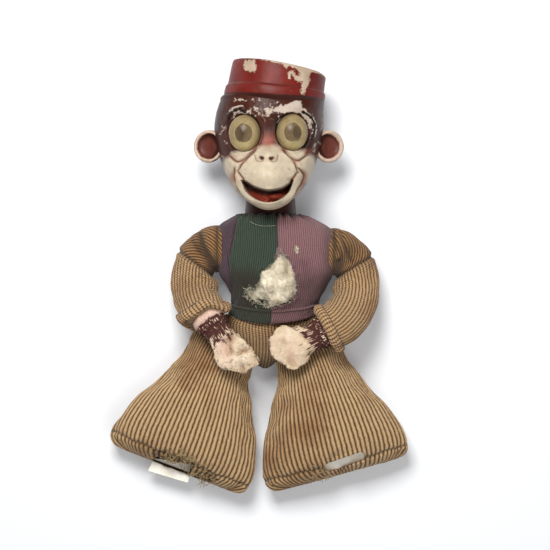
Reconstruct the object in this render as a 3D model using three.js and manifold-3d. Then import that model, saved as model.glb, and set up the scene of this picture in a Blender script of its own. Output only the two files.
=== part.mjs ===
// A soft monkey doll lying on its back: a hollow moulded head in two halves with its pillbox hat,
// domed eyes with loose pupils, moulded hands held in corduroy sleeves, a ribbed vest in two
// colours that is torn over its cotton wadding, and wide bell-bottomed corduroy legs with a
// stiff card in each hem.
// Millimetres. Left and right are those of someone looking down at the doll. +X is the right,
// +Y runs to the hat, +Z is up from the floor under the doll. The origin is on the flat of the
// back, under the middle of the chest.
import * as THREE from "three";
import { mergeVertices } from "three/addons/utils/BufferGeometryUtils.js";
import Module from "manifold-3d";

const wasm = await Module();
wasm.setup();

// Driving sizes

// Cloth and fits
const clothThickness = 1.2;
const seamGap = 0.3;
const fitGap = 0.3;
const waddingGap = 0.4;
const swingGap = 0.5;

// Trunk
const chestHalfWidth = 48.5;
const chestHalfDepth = 28.5;
const chestHeight = 27.5;
const armholeX = 46.4;
const collarY = 44;
const vestHemY = -42.5;
const vestHemSideY = -33;
const waistbandHeight = 11;
const waistbandThickness = 1.1;
const centreSeamTopX = 0.8;
const centreSeamLean = 3.2;
const sideSeamX = -36.5;
const trunkLeanX = -3;

// Head
const headX = -5.4;
const headZ = 40;
const skullHalfWidth = 43.4;
const shellWall = 5;
const faceWall = 11;
const neckX = -4;
const neckZ = 31;
const neckRadius = 20.6;
const neckBoreRadius = 14;
const flangeRadius = 22;
const flangeHeight = 4;
const hatRadiusBottom = 39.4;
const hatRadiusTop = 37.6;
const hatHeight = 30;
const hatBandHeight = 8.5;
const hatBandProud = 1.1;
const hatLean = 9;
const hatTipBack = 2;
const hatBase = [-1.4, 134.5, 42];
const earRadius = 13;
const earThickness = 5.5;

// Eyes
const eyeHalfWidth = 12.3;
const eyeHalfHeight = 14.3;
const eyeDomeHeight = 9.9;
const eyeWall = 0.9;
const eyePlateThickness = 1;
const eyeSeatZ = 72.5;
const eyeSplay = 5;
const pupilRadius = 5;
const pupilThickness = 0.8;
const pupilTilt = 45;
const pupilOffset = 3.6;

// Arms and hands
const sleeveHalfWidth = 17.4;
const sleeveHalfDepth = 16;
const cuffLength = 6.5;
const cuffThickness = 1.5;
const shoulderPanelShare = 0.33;
const wristRadius = 11;
const wristFlangeRadius = 13.8;
const wristFlatness = 0.7;
const palmHalfThickness = 7;
const handHeight = 51;
const cordRadius = 1.1;

// Legs
const hipSpacing = 63;
const hipCentreX = -8.5;
const hipY = -58;
const legLength = 110;
const hemHalfWidth = 60;
const thighHalfWidth = 29;
const legHalfDepth = 21.5;
const legHeight = 20.7;
const foldAngle = 39;
const cardThickness = 1.6;
const slitWidth = 35;
const slitHeight = 7;

// Sides and poses, as the photograph shows them
const sides = {
  left: {
    sign: -1,
    splay: 21,
    eyeX: -24.2,
    eyeY: 106.5,
    mouth: [-51, -41.5, handHeight - 0.5],
    handTurn: 33.4,
    cardShare: 0.985,
    cardTilt: 0,
    cardSize: [38, 26],
    armRoute: [
      [17, 0, 28, 90],
      [14.5, 9.4, 27.5, 112],
      [5, 16.8, 25, 145],
      [-9, 18.2, 25, 176],
      [-21, 15.8, 34, 192],
      [-32, 10.8, 46.8, 205],
    ],
  },
  right: {
    sign: 1,
    splay: 15.3,
    eyeX: 12.8,
    eyeY: 107.2,
    mouth: [38.4, -49, handHeight - 0.5],
    handTurn: -64,
    cardShare: 0.945,
    cardTilt: 48,
    cardSize: [37, 14],
    armRoute: [
      [14.5, 0, 28, 90],
      [11.5, 9, 27.5, 64],
      [2, 16, 25, 30],
      [-12, 18, 25, 4],
      [-27, 14.8, 34, -22],
      [-40, 5.6, 46.8, -47],
    ],
  },
};
// The plan of each hand as it is now, with its fingers broken off: [across, towards the fingers].
const palmPlans = {
  left: [
    [-10, 4],
    [-9.5, 15],
    [-13.8, 29],
    [-12.5, 36],
    [-6.2, 42.4],
    [-1.5, 48.6],
    [14.9, 48],
    [15.5, 41],
    [14.8, 30],
    [11.3, 16],
    [11, 4],
  ],
  right: [
    [-12, 4],
    [-17.8, 16],
    [-21.2, 26],
    [-12.8, 42.4],
    [-0.9, 45.6],
    [5.5, 42.8],
    [16, 35.3],
    [16.2, 16],
    [12.3, 9],
    [10, 4],
  ],
};
// The tear in the vest, clockwise from its top.
const tearPlan = [
  [3.5, 14],
  [-3, 12],
  [-7, 3],
  [-12.5, -4],
  [-16.5, -13],
  [-13.5, -25],
  [-0.4, -28.4],
  [12.4, -25.6],
  [16, -16],
  [16.6, -5],
  [12.5, 6],
];
const tuftProud = 4.5;

const radians = THREE.MathUtils.degToRad;
const far = 400;

// Shape tools

// A closed three.js geometry as a solid that can be joined and cut.
function solid(geometry) {
  const bare = new THREE.BufferGeometry();
  bare.setAttribute("position", geometry.getAttribute("position").clone());
  if (geometry.index) bare.setIndex(geometry.index.clone());
  const merged = mergeVertices(bare, 1e-4);
  return new wasm.Manifold(
    new wasm.Mesh({
      numProp: 3,
      vertProperties: new Float32Array(merged.attributes.position.array),
      triVerts: new Uint32Array(merged.index.array),
    }),
  );
}

// A solid as a flat-shaded three.js geometry.
function geometryOf(body) {
  const { vertProperties, triVerts, numProp } = body.getMesh();
  const positions = new Float32Array(triVerts.length * 3);
  triVerts.forEach((vertex, corner) => {
    positions.set(vertProperties.subarray(vertex * numProp, vertex * numProp + 3), corner * 3);
  });
  const geometry = new THREE.BufferGeometry();
  geometry.setAttribute("position", new THREE.BufferAttribute(positions, 3));
  geometry.computeVertexNormals();
  return geometry;
}

// A geometry turned, then moved, as a solid.
function placed(geometry, [x, y, z], [turnX, turnY, turnZ] = [0, 0, 0]) {
  const turn = new THREE.Euler(radians(turnX), radians(turnY), radians(turnZ), "ZYX");
  const matrix = new THREE.Matrix4().makeRotationFromEuler(turn).setPosition(x, y, z);
  return solid(geometry.clone().applyMatrix4(matrix));
}

// The box between two corners.
function block([x0, y0, z0], [x1, y1, z1]) {
  const size = [x1 - x0, y1 - y0, z1 - z0];
  return placed(new THREE.BoxGeometry(...size), [(x0 + x1) / 2, (y0 + y1) / 2, (z0 + z1) / 2]);
}

const above = (z) => block([-far, -far, z], [far, far, far]);
const below = (z) => block([-far, -far, -far], [far, far, z]);

// Everything behind a vertical plane through a point; the plane faces the way the angle points.
function behindPlane([x, y], facing) {
  const box = new THREE.BoxGeometry(far, 2 * far, 2 * far).translate(-far / 2, 0, 0);
  return placed(box, [x, y, 0], [0, 0, facing]);
}

// A closed skin over rings of points that follow each other, with a fan over each end.
function skin(rings) {
  const count = rings[0].length;
  const points = rings.flat();
  const faces = [];
  for (let ring = 0; ring + 1 < rings.length; ring++) {
    for (let side = 0; side < count; side++) {
      const here = ring * count + side;
      const next = ring * count + ((side + 1) % count);
      faces.push(here, next, next + count, here, next + count, here + count);
    }
  }
  [rings[0], rings.at(-1)].forEach((ring, end) => {
    const middle = ring.reduce((sum, point) => sum.add(point), new THREE.Vector3());
    const hub = points.push(middle.divideScalar(count)) - 1;
    const start = end ? (rings.length - 1) * count : 0;
    for (let side = 0; side < count; side++) {
      const here = start + side;
      const next = start + ((side + 1) % count);
      faces.push(...(end ? [here, next, hub] : [next, here, hub]));
    }
  });
  const geometry = new THREE.BufferGeometry().setFromPoints(points);
  geometry.setIndex(faces);
  const made = solid(geometry);
  if (made.volume() > 0) return made;
  for (let face = 0; face < faces.length; face += 3) {
    [faces[face + 1], faces[face + 2]] = [faces[face + 2], faces[face + 1]];
  }
  geometry.setIndex(faces);
  return solid(geometry);
}

const rounded = (value, power) => Math.sign(value) * Math.abs(value) ** (2 / power);

// A smooth curve through chosen columns of a table of rows.
function smooth(rows, columns) {
  const points = rows.map((row) => new THREE.Vector3(...columns.map((column) => row[column])));
  return new THREE.CatmullRomCurve3(points, false, "catmullrom", 0.5);
}

// A stuffed form: upright oval sections that follow smooth rows of
// [x, y, z, half width, half depth, direction of the width in plan, in degrees].
// inset moves its skin in by that much, and endPast carries the last section past the end.
function stuffed(rows, { inset = 0, endPast = 0, sections, sides: count, power = 2.2 }) {
  const centres = smooth(rows, [0, 1, 2]);
  const sizes = smooth(rows, [3, 4, 5]);
  const at = (along, angle) => {
    const { x: half, y: depth, z: turn } = sizes.getPoint(along);
    const wide = half * rounded(Math.cos(angle), power);
    const deep = depth * rounded(Math.sin(angle), power);
    const across = new THREE.Vector3(Math.cos(radians(turn)), Math.sin(radians(turn)), 0);
    return across.multiplyScalar(wide).add(new THREE.Vector3(0, 0, deep)).add(centres.getPoint(along));
  };
  const step = 0.01;
  const outwards = (along, angle, level) => {
    const forward = at(Math.min(along + step, 1), angle).sub(at(Math.max(along - step, 0), angle));
    const around = at(along, angle + step).sub(at(along, angle - step));
    const normal = forward.cross(around);
    if (level) normal.projectOnPlane(centres.getTangent(along));
    const towardsSkin = at(along, angle).sub(centres.getPoint(along));
    return normal.normalize().multiplyScalar(Math.sign(normal.dot(towardsSkin)));
  };
  const trim = Math.max(inset, 0) / centres.getLength();
  const from = centres.getUtoTmapping(trim);
  const to = centres.getUtoTmapping(1 - trim);
  const rings = [];
  for (let section = 0; section < sections; section++) {
    const along = from + ((to - from) * section) / (sections - 1);
    const level = section === 0 || section === sections - 1;
    rings.push(
      Array.from({ length: count }, (_, side) => {
        const angle = (2 * Math.PI * side) / count;
        return at(along, angle).addScaledVector(outwards(along, angle, level), -inset);
      }),
    );
  }
  if (endPast) {
    const onwards = centres.getTangent(1).multiplyScalar(Math.max(inset, 0) + endPast);
    rings.push(rings.at(-1).map((point) => point.clone().add(onwards)));
  }
  return skin(rings);
}

// Wadding is told with half the sides of its cover, unless its cover bends and twists.
const waddingShape = (shape, count = shape.sides / 2) => ({
  ...shape,
  inset: clothThickness + waddingGap,
  sides: count,
});

// The cloth cover and the wadding of a stuffed form that lies on the floor.
function coverAndWadding(rows, shape) {
  const outside = stuffed(rows, shape).intersect(above(0));
  const inside = stuffed(rows, { ...shape, inset: clothThickness }).intersect(above(clothThickness));
  const filling = stuffed(rows, waddingShape(shape)).intersect(above(clothThickness + waddingGap));
  return { cover: outside.subtract(inside), wadding: filling };
}

// A closed plan outline pulled up from one height to another.
function prism(plan, from, to, smooth = false) {
  const points = plan.map(([x, y]) => new THREE.Vector2(x, y));
  const outline = smooth
    ? new THREE.Shape(
        new THREE.CatmullRomCurve3(
          points.map((point) => new THREE.Vector3(point.x, point.y, 0)),
          true,
        )
          .getPoints(2 * points.length)
          .slice(0, -1)
          .map((point) => new THREE.Vector2(point.x, point.y)),
      )
    : new THREE.Shape(points);
  const geometry = new THREE.ExtrudeGeometry(outline, { depth: to - from, bevelEnabled: false });
  return solid(geometry.translate(0, 0, from));
}

// A profile of [radius, height] turned about the Y axis.
function turned(profile, segments = 32) {
  return new THREE.LatheGeometry(
    profile.map(([radius, height]) => new THREE.Vector2(radius, height)),
    segments,
  );
}

// Materials
function finish(colour, roughness, metalness = 0) {
  return new THREE.MeshStandardMaterial({ color: colour, roughness, metalness, flatShading: true });
}
const materials = {
  paintedComposition: finish("#5b2a22", 0.45),
  bareComposition: finish("#d9c6ad", 0.85),
  clouded: finish("#a8946a", 0.3),
  eyeCard: finish("#b8a478", 0.7),
  pupilBlack: finish("#2b2722", 0.4),
  corduroy: finish("#8f774f", 0.95),
  greenCord: finish("#35443a", 0.95),
  mauveCord: finish("#6f4a56", 0.95),
  purpleCord: finish("#4d3040", 0.95),
  wadding: finish("#d8cdb4", 1),
  card: finish("#d6cdb8", 0.85),
  cord: finish("#2c241f", 0.9),
};

// The doll is a group of groups: each piece that turns has its own, placed at its pivot.
const doll = new THREE.Group();
function pivotAt(position) {
  const group = new THREE.Group();
  group.position.set(...position);
  doll.add(group);
  return group;
}
function add(group, name, body, material) {
  const home = group.position.clone().negate();
  const mesh = new THREE.Mesh(geometryOf(body.translate(home.toArray())), material);
  mesh.name = name;
  group.add(mesh);
}

// Trunk: a ribbed vest in three panels over wadding

const trunk = pivotAt([0, 0, 0]);

const vestRows = [
  [trunkLeanX, vestHemY, 22, 32.5, 21.5, 0],
  [trunkLeanX + 1, -34, 22.5, 34, 22.5, 0],
  [-0.5, -24, 24.5, 35.6, 24.5, 0],
  [0.5, -14, 26, 39.5, 26.5, 0],
  [0.5, -2, chestHeight - 0.3, 46.5, chestHalfDepth - 0.2, 0],
  [0, 14, chestHeight, chestHalfWidth, chestHalfDepth, 0],
  [0, 28, 28, chestHalfWidth - 0.3, 27.5, 0],
  [-1, 37.5, 29, 44, 27, 0],
  [trunkLeanX, 42, 30.5, 31, 25, 0],
  [neckX, collarY, neckZ, neckRadius + 2.4, neckRadius + 2, 0],
];
const vestShape = { sections: 10, sides: 20, power: 2.25 };
const betweenArmholes = block([-armholeX, -far, -far], [armholeX, far, far]);
const insideArmholes = block(
  [-armholeX + clothThickness, -far, -far],
  [armholeX - clothThickness, far, far],
);
const waddingArmholes = block(
  [-armholeX + clothThickness + waddingGap, -far, -far],
  [armholeX - clothThickness - waddingGap, far, far],
);
const vestOutside = stuffed(vestRows, vestShape).intersect(above(0)).intersect(betweenArmholes);
const downwards = vestRows.toReversed();
const vestInside = stuffed(downwards, { ...vestShape, inset: clothThickness, endPast: 3 })
  .intersect(above(clothThickness))
  .intersect(insideArmholes);
const neckHole = placed(
  new THREE.CylinderGeometry(neckRadius + swingGap, neckRadius + swingGap, 40, 30),
  [neckX, collarY, neckZ],
);
// The hem dips in the middle of the belly.
const hemCurve = new THREE.Shape()
  .moveTo(-far, far)
  .lineTo(-far, vestHemSideY)
  .lineTo(-chestHalfWidth, vestHemSideY)
  .quadraticCurveTo(trunkLeanX, 2 * vestHemY - vestHemSideY, chestHalfWidth, vestHemSideY)
  .lineTo(far, vestHemSideY)
  .lineTo(far, far)
  .closePath();
const aboveHem = solid(
  new THREE.ExtrudeGeometry(hemCurve, { depth: far, bevelEnabled: false, curveSegments: 8 }),
);
const vestShell = vestOutside.subtract(vestInside).subtract(neckHole).intersect(aboveHem);
const frontSplitZ = chestHeight;
const centreSeam = (side) => [centreSeamTopX + side * (seamGap / 2), collarY];
const leftOfCentre = behindPlane(centreSeam(-1), -centreSeamLean);
const rightOfCentre = behindPlane(centreSeam(1), 180 - centreSeamLean);
const leftOfSide = behindPlane([sideSeamX - seamGap / 2, 0], 0);
const rightOfSide = behindPlane([sideSeamX + seamGap / 2, 0], 180);
const frontHalf = above(frontSplitZ + seamGap / 2);
const tear = prism(tearPlan, chestHeight + 5, far, true);
const vestFront = vestShell.intersect(frontHalf).subtract(tear);
const backFlap = vestShell.intersect(above(frontSplitZ - 1)).intersect(leftOfSide);
add(trunk, "vest_front_green", vestFront.intersect(leftOfCentre).intersect(rightOfSide), materials.greenCord);
add(trunk, "vest_front_mauve", vestFront.intersect(rightOfCentre), materials.mauveCord);
add(
  trunk,
  "vest_back",
  vestShell.intersect(below(frontSplitZ - seamGap / 2)).add(backFlap),
  materials.purpleCord,
);

// Waistband: a doubled strip over the hem of the vest
const bandShape = { ...vestShape, inset: -waistbandThickness - fitGap };
const bandOutside = stuffed(vestRows, bandShape).intersect(above(0));
const bandInside = stuffed(vestRows, { ...vestShape, inset: -fitGap });
const aboveBand = aboveHem.translate([0, waistbandHeight, 0]);
const bandRing = bandOutside
  .subtract(bandInside)
  .intersect(aboveHem)
  .subtract(aboveBand)
  .intersect(block([-far, -far, 2 * clothThickness], [far, collarY, far]));
const bandFront = bandRing.intersect(frontHalf);
add(trunk, "waistband_green", bandFront.intersect(leftOfCentre), materials.greenCord);
add(trunk, "waistband_mauve", bandFront.intersect(rightOfCentre), materials.mauveCord);

// Wadding: from above the trousers' waist to under the collar, hollowed for the neck, and
// bulging from the tear
const waddingBottomY = -27;
const waddingTopY = 36;
const neckRoom = placed(
  new THREE.CylinderGeometry(flangeRadius + swingGap, flangeRadius + swingGap, 40, 24),
  [neckX, collarY - 14 + 20 - flangeHeight, neckZ],
);
const tearCentre = [0.5, -9, chestHeight + chestHalfDepth - 8];
const tuft = placed(new THREE.SphereGeometry(1, 16, 10).scale(14.5, 20, 8 + tuftProud), tearCentre);
const tearRoom = prism(
  tearPlan.map(([x, y]) => [tearCentre[0] + (x - tearCentre[0]) * 0.9, tearCentre[1] + (y - tearCentre[1]) * 0.93]),
  chestHeight,
  far,
  true,
);
const torsoWadding = stuffed(vestRows, waddingShape(vestShape))
  .intersect(above(clothThickness + waddingGap))
  .intersect(waddingArmholes)
  .intersect(block([-far, waddingBottomY, -far], [far, waddingTopY, far]))
  .subtract(neckRoom)
  .add(tuft.intersect(tearRoom));
add(trunk, "torso_wadding", torsoWadding, materials.wadding);

// Seat of the trousers: a wedge between the legs, tucked up inside the vest

const seatRows = [
  [-1, -28.3, 21.5, 29.8, 18.6, 0],
  [-1.5, -33, 21.3, 30.6, 19.2, 0],
  [-5, -38, 21, 42.5, 19.4, 0],
  [hipCentreX, -44, 20.5, 47.5, 19, 0],
  [hipCentreX, -54, 20.5, 35.5, 17.5, 0],
  [hipCentreX, -64, legHeight, 23.2, 13, 0],
  [hipCentreX, -72, legHeight, 13.2, 8, 0],
  [hipCentreX, -77.5, legHeight, 6, 3.2, 0],
];
const seat = coverAndWadding(seatRows, { sections: 8, sides: 16, power: 1.75 });
// It keeps inside the vest above the hem of the vest.
const everywhere = block([-far, -far, -far], [far, far, far]);
function clearOfVest(gap) {
  const inside = { ...vestShape, inset: clothThickness + gap, endPast: 9 };
  const insideVest = stuffed(downwards, inside);
  const underHem = everywhere.subtract(aboveHem.translate([0, -gap, 0]));
  return insideVest.intersect(above(clothThickness + gap)).add(underHem);
}
const seatCover = seat.cover.intersect(clearOfVest(fitGap));
const seatWadding = seat.wadding.intersect(clearOfVest(fitGap + clothThickness + waddingGap));
add(trunk, "seat_front", seatCover.intersect(above(legHeight + seamGap / 2)), materials.corduroy);
add(trunk, "seat_back", seatCover.intersect(below(legHeight - seamGap / 2)), materials.corduroy);
add(trunk, "seat_wadding", seatWadding, materials.wadding);

// Head: a hollow casting with hat, ears, neck and neck flange, moulded as a face and a back
// that are glued together

const head = pivotAt([neckX, collarY, neckZ]);

const headRows = [
  [48, 9, 31, -12],
  [53, 17, 37, -2],
  [60, 24, 39.5, 10],
  [68, 30.5, 41, 20],
  [78, 36.3, 41, 29],
  [89, 40.3, 40, 36],
  [102, 42.6, 39.2, 39.6],
  [115, skullHalfWidth, 38.2, 39.8],
  [126, 41, 34.5, 38],
  [134, 34, 28, 32],
  [139.5, 20, 16, 19],
];
// Swellings and hollows of the face: [x from the mid-plane, y, half width, half height, rise].
const faceRelief = [
  [0, 72, 22, 16, 12],
  [0, 88, 7, 5, 4],
  [0, 51, 20, 8, 9],
  [-31, 80.5, 8, 9, 5],
  [31, 80.5, 8, 9, 5],
  [-18.8, 106.5, 12, 14, -3],
  [18.3, 107, 12, 14, -3],
  [0, 124, 28, 8, 2.5],
];
const headPower = 2.15;
const headHalves = smooth(headRows, [1, 0, 2]);
const headBacks = smooth(headRows, [3, 3, 3]);

// The section of the head at a share of its height.
function headSection(along) {
  const { x: half, y, z: front } = headHalves.getPoint(along);
  const back = headBacks.getPoint(along).x;
  return { half, y, middle: (front - back) / 2, reach: (front + back) / 2 };
}

// How far the face rises over the plain skin, at a distance from its mid-plane.
function faceRise(x, y) {
  return faceRelief.reduce((sum, [cx, cy, wide, high, rise]) => {
    return sum + rise * Math.exp(-(((x - cx) / wide) ** 2) - ((y - cy) / high) ** 2);
  }, 0);
}

// The height of the face over the floor, found on the section at that place.
function faceZ(x, y) {
  let [low, high] = [0, 1];
  for (let halving = 0; halving < 20; halving++) {
    const along = (low + high) / 2;
    if (headSection(along).y < y) low = along;
    else high = along;
  }
  const { half, middle, reach } = headSection(low);
  const across = Math.min(Math.abs(x - headX) / half, 1);
  const facing = (1 - across ** headPower) ** (1 / headPower);
  return headZ + middle + reach * facing + faceRise(x - headX, y) * facing ** (headPower * 0.3);
}

// The skin of the head, or with a wall the hollow inside it.
function headSkin(sections, count, wall = 0, frontWall = 0) {
  const rings = [];
  for (let section = 0; section < sections; section++) {
    const share = section / (sections - 1);
    const { half, y, middle, reach } = headSection(wall ? 0.14 + 0.8 * share : share);
    rings.push(
      Array.from({ length: count }, (_, side) => {
        const angle = (2 * Math.PI * side) / count;
        const facing = Math.sin(angle);
        const x = (half - wall) * rounded(Math.cos(angle), headPower);
        const z = middle + (reach - (facing > 0 ? frontWall : wall)) * rounded(facing, headPower);
        const rise = wall ? 0 : faceRise(x, y) * Math.max(facing, 0) ** 0.6;
        return new THREE.Vector3(headX + x, y, headZ + z + rise);
      }),
    );
  }
  return skin(rings);
}

// The hat leans to the right and is worn a little back.
function onHat(geometry) {
  return placed(geometry, hatBase, [-hatTipBack, 0, -hatLean]);
}
const hatOutside = onHat(
  turned(
    [
      [0, -4],
      [hatRadiusBottom - 4, -4],
      [hatRadiusBottom, 0],
      [hatRadiusBottom + hatBandProud, 0.8],
      [hatRadiusBottom + hatBandProud - 0.4, hatBandHeight],
      [hatRadiusBottom - 0.9, hatBandHeight + 1.2],
      [hatRadiusTop, hatHeight - 2],
      [hatRadiusTop - 2, hatHeight],
      [0, hatHeight],
    ],
    32,
  ),
);
const hatInside = onHat(
  turned(
    [
      [0, -14],
      [hatRadiusBottom - shellWall - 12.4, -14],
      [hatRadiusBottom - shellWall - 8.4, 0],
      [hatRadiusTop - shellWall, hatHeight - shellWall],
      [0, hatHeight - shellWall],
    ],
    16,
  ),
);
const neckFootY = collarY - 14;
const napeY = 74;
const neckOutside = placed(
  turned(
    [
      [0, napeY],
      [neckRadius - 2.4, napeY],
      [neckRadius - 1.6, napeY - 8],
      [neckRadius - 0.6, 52],
      [neckRadius, collarY],
      [neckRadius - 1.2, neckFootY + flangeHeight + 2],
      [flangeRadius, neckFootY + flangeHeight],
      [flangeRadius, neckFootY + 0.8],
      [flangeRadius - 1, neckFootY],
      [0, neckFootY],
    ].toReversed(),
    30,
  ),
  [neckX, 0, neckZ],
);
const neckBoreLength = 67;
const neckBore = placed(
  new THREE.CylinderGeometry(neckBoreRadius, neckBoreRadius, neckBoreLength + 3, 16),
  [neckX, neckFootY + (neckBoreLength - 3) / 2, neckZ],
);

// Ears: dished ovals half let into the sides of the head
function ear(sign) {
  const centre = [headX + sign * 47.5, 98.5, 40];
  const facing = [0, sign * 24, 0];
  const oval = new THREE.SphereGeometry(1, 16, 8).scale(earRadius, earRadius, earThickness);
  const dishSize = [earRadius - 3, earRadius - 3, earThickness + 1];
  const dish = new THREE.SphereGeometry(1, 14, 8).scale(...dishSize).translate(sign, 0, 4);
  return placed(oval, centre, facing).subtract(placed(dish, centre, facing));
}

// Mouth: a crescent between two smiling curves, with the rolled edge of the lower lip under it
const mouthHalfWidth = 19.5;
const mouthCornerY = 68.4;
const upperLipY = 60.8;
const lowerLipY = 50.8;
const mouthFloorZ = 75;
const mouthPlan = new THREE.Shape()
  .moveTo(headX - mouthHalfWidth, mouthCornerY)
  .quadraticCurveTo(headX, 2 * lowerLipY - mouthCornerY, headX + mouthHalfWidth, mouthCornerY)
  .quadraticCurveTo(headX, 2 * upperLipY - mouthCornerY, headX - mouthHalfWidth, mouthCornerY);
const mouth = solid(
  new THREE.ExtrudeGeometry(mouthPlan, { depth: 40, bevelEnabled: false, curveSegments: 8 }).translate(
    0,
    0,
    mouthFloorZ,
  ),
);
const lipRadius = 2.7;
const lipLine = new THREE.CatmullRomCurve3(
  Array.from({ length: 9 }, (_, place) => {
    const share = place / 4 - 1;
    const x = headX + share * (mouthHalfWidth + 1);
    const y = lowerLipY - lipRadius * 0.6 + (mouthCornerY - lowerLipY + 1) * share ** 2;
    return new THREE.Vector3(x, y, faceZ(x, y) - 0.8 - 2.2 * share ** 4);
  }),
);
const lipSection = new THREE.Shape().absarc(0, 0, lipRadius, 0, 2 * Math.PI);
const lip = solid(
  new THREE.ExtrudeGeometry(lipSection, { steps: 12, curveSegments: 3, extrudePath: lipLine }),
);
const nostrilX = 4.1;
const nostrilY = 86.4;
function nostril(sign) {
  const x = headX - 0.5 + sign * nostrilX;
  return placed(new THREE.SphereGeometry(1.5, 8, 6), [x, nostrilY, faceZ(x, nostrilY)]);
}

// Eye seats: oval pits a fit gap wider than the eye
function onEye(geometry, side) {
  const { eyeX, eyeY, sign } = sides[side];
  return placed(geometry, [eyeX, eyeY, eyeSeatZ], [0, sign * eyeSplay, 0]);
}
const ovalEye = (geometry) =>
  geometry.rotateX(Math.PI / 2).scale(1, eyeHalfHeight / eyeHalfWidth, 1);
const eyePit = ovalEye(
  new THREE.CylinderGeometry(eyeHalfWidth + fitGap, eyeHalfWidth + fitGap, 40, 24).translate(0, 20, 0),
);

const headShell = headSkin(19, 32)
  .add(hatOutside)
  .add(neckOutside)
  .add(ear(-1))
  .add(ear(1))
  .add(lip)
  .subtract(headSkin(7, 16, shellWall, faceWall))
  .subtract(hatInside)
  .subtract(neckBore)
  .subtract(mouth)
  .subtract(nostril(-1))
  .subtract(nostril(1))
  .subtract(onEye(eyePit, "left"))
  .subtract(onEye(eyePit, "right"));
const joinGap = seamGap / 2;
add(head, "head_face", headShell.intersect(above(headZ + joinGap)), materials.paintedComposition);
add(head, "head_back", headShell.intersect(below(headZ - joinGap)), materials.paintedComposition);

// Neck tie: the cord inside the vest that draws its collar in over the flange
const neckTieY = 38.4;
const neckTie = new THREE.TorusGeometry(neckRadius + fitGap + cordRadius, cordRadius, 6, 28);
add(trunk, "neck_tie", placed(neckTie, [neckX, neckTieY, neckZ], [90, 0, 0]), materials.cord);

// Eyes: a card plate, a clouded dome over it and a loose pupil that rolls round between them

const domeFootZ = fitGap + eyePlateThickness + fitGap;
const domeArc = (radius, height, steps) =>
  Array.from({ length: steps + 1 }, (_, step) => {
    const angle = (Math.PI / 2) * (step / steps);
    return [radius * Math.cos(angle), height * Math.sin(angle)];
  });
const eyePlate = turned(
  [
    [0, fitGap],
    [eyeHalfWidth, fitGap],
    [eyeHalfWidth, fitGap + eyePlateThickness],
    [0, fitGap + eyePlateThickness],
  ],
  24,
);
const domeInside = domeArc(eyeHalfWidth - eyeWall, eyeDomeHeight - eyeWall, 4).toReversed();
const eyeDome = turned(
  [...domeArc(eyeHalfWidth, eyeDomeHeight, 4), ...domeInside, [eyeHalfWidth, 0]],
  24,
);
const pupilZ = fitGap + eyePlateThickness + 0.6 + pupilRadius * Math.sin(radians(pupilTilt));
for (const side of ["left", "right"]) {
  const { sign } = sides[side];
  const plate = ovalEye(eyePlate.clone());
  const dome = ovalEye(eyeDome.clone()).translate(0, 0, domeFootZ);
  const pupil = new THREE.CylinderGeometry(pupilRadius, pupilRadius, pupilThickness, 16)
    .rotateX(Math.PI / 2)
    .rotateY(radians(sign * pupilTilt))
    .translate(sign * pupilOffset, 0, pupilZ);
  add(head, `${side}_eye_plate`, onEye(plate, side), materials.eyeCard);
  add(head, `${side}_eye_dome`, onEye(dome, side), materials.clouded);
  const socket = pivotAt([sides[side].eyeX, sides[side].eyeY, eyeSeatZ]);
  add(socket, `${side}_eye_pupil`, onEye(pupil, side), materials.pupilBlack);
}

// Arms: a shoulder panel and a long sleeve with a turned cuff over one roll of wadding

function armRows(side) {
  const { sign, armRoute, mouth: cuff, handTurn } = sides[side];
  const outwards = sign > 0 ? handTurn : 180 + handTurn;
  const start = sign * (armholeX + swingGap);
  const girths = [
    [1.06, 1.04],
    [0.97, 1.02],
    [0.96, 1.01],
    [1.03, 1],
    [1.05, 0.95],
    [1.04, 0.85],
  ];
  const rows = armRoute.map(([y, out, z, turn], row) => [
    start + sign * out,
    y,
    z,
    sleeveHalfWidth * girths[row][0],
    sleeveHalfDepth * girths[row][1],
    turn,
  ]);
  return [...rows, [...cuff, sleeveHalfWidth, sleeveHalfDepth * 0.84, outwards]];
}
const armShape = { sections: 10, sides: 14, power: 2.15 };

// The wrist and flange, then the palm cut to its broken outline, in the hand's own frame:
// the cuff's mouth at y 0 and the fingers towards -Y.
function hand(side) {
  const { sign, mouth: cuff, handTurn } = sides[side];
  const wrist = turned(
    [
      [0, -14],
      [wristRadius - 0.6, -14],
      [wristRadius, -6],
      [wristRadius + 2, -4.6],
      [wristRadius + 2.2, -2.6],
      [wristRadius + 1.2, -1.6],
      [wristRadius + 1.2, 0.4],
      [wristFlangeRadius, 1.2],
      [wristFlangeRadius, 5.4],
      [wristFlangeRadius - 1.4, 6.6],
      [0, 6.6],
    ],
    20,
  ).scale(1, 1, wristFlatness);
  const palmRows = [
    [0, -5, 0, wristRadius - 0.5, wristRadius * wristFlatness - 0.6, 0],
    [0, -14, 0, wristRadius + 0.5, palmHalfThickness + 0.6, 0],
    [-0.5, -24, 0.6, wristRadius + 6, palmHalfThickness + 0.4, 0],
    [-1, -36, 0.4, wristRadius + 9.5, palmHalfThickness, 0],
    [0, -50, -1.2, wristRadius + 8, palmHalfThickness - 1.6, 0],
  ];
  const plan = palmPlans[side].map(([across, along]) => [across, -along]);
  const palm = stuffed(palmRows, { sections: 7, sides: 14, power: 2.6 }).intersect(
    prism(plan, -20, 20),
  );
  const turn = new THREE.Matrix4().makeRotationZ(radians(handTurn));
  turn.setPosition(cuff[0], cuff[1], handHeight);
  return solid(wrist).add(palm).transform(turn.elements);
}

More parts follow.
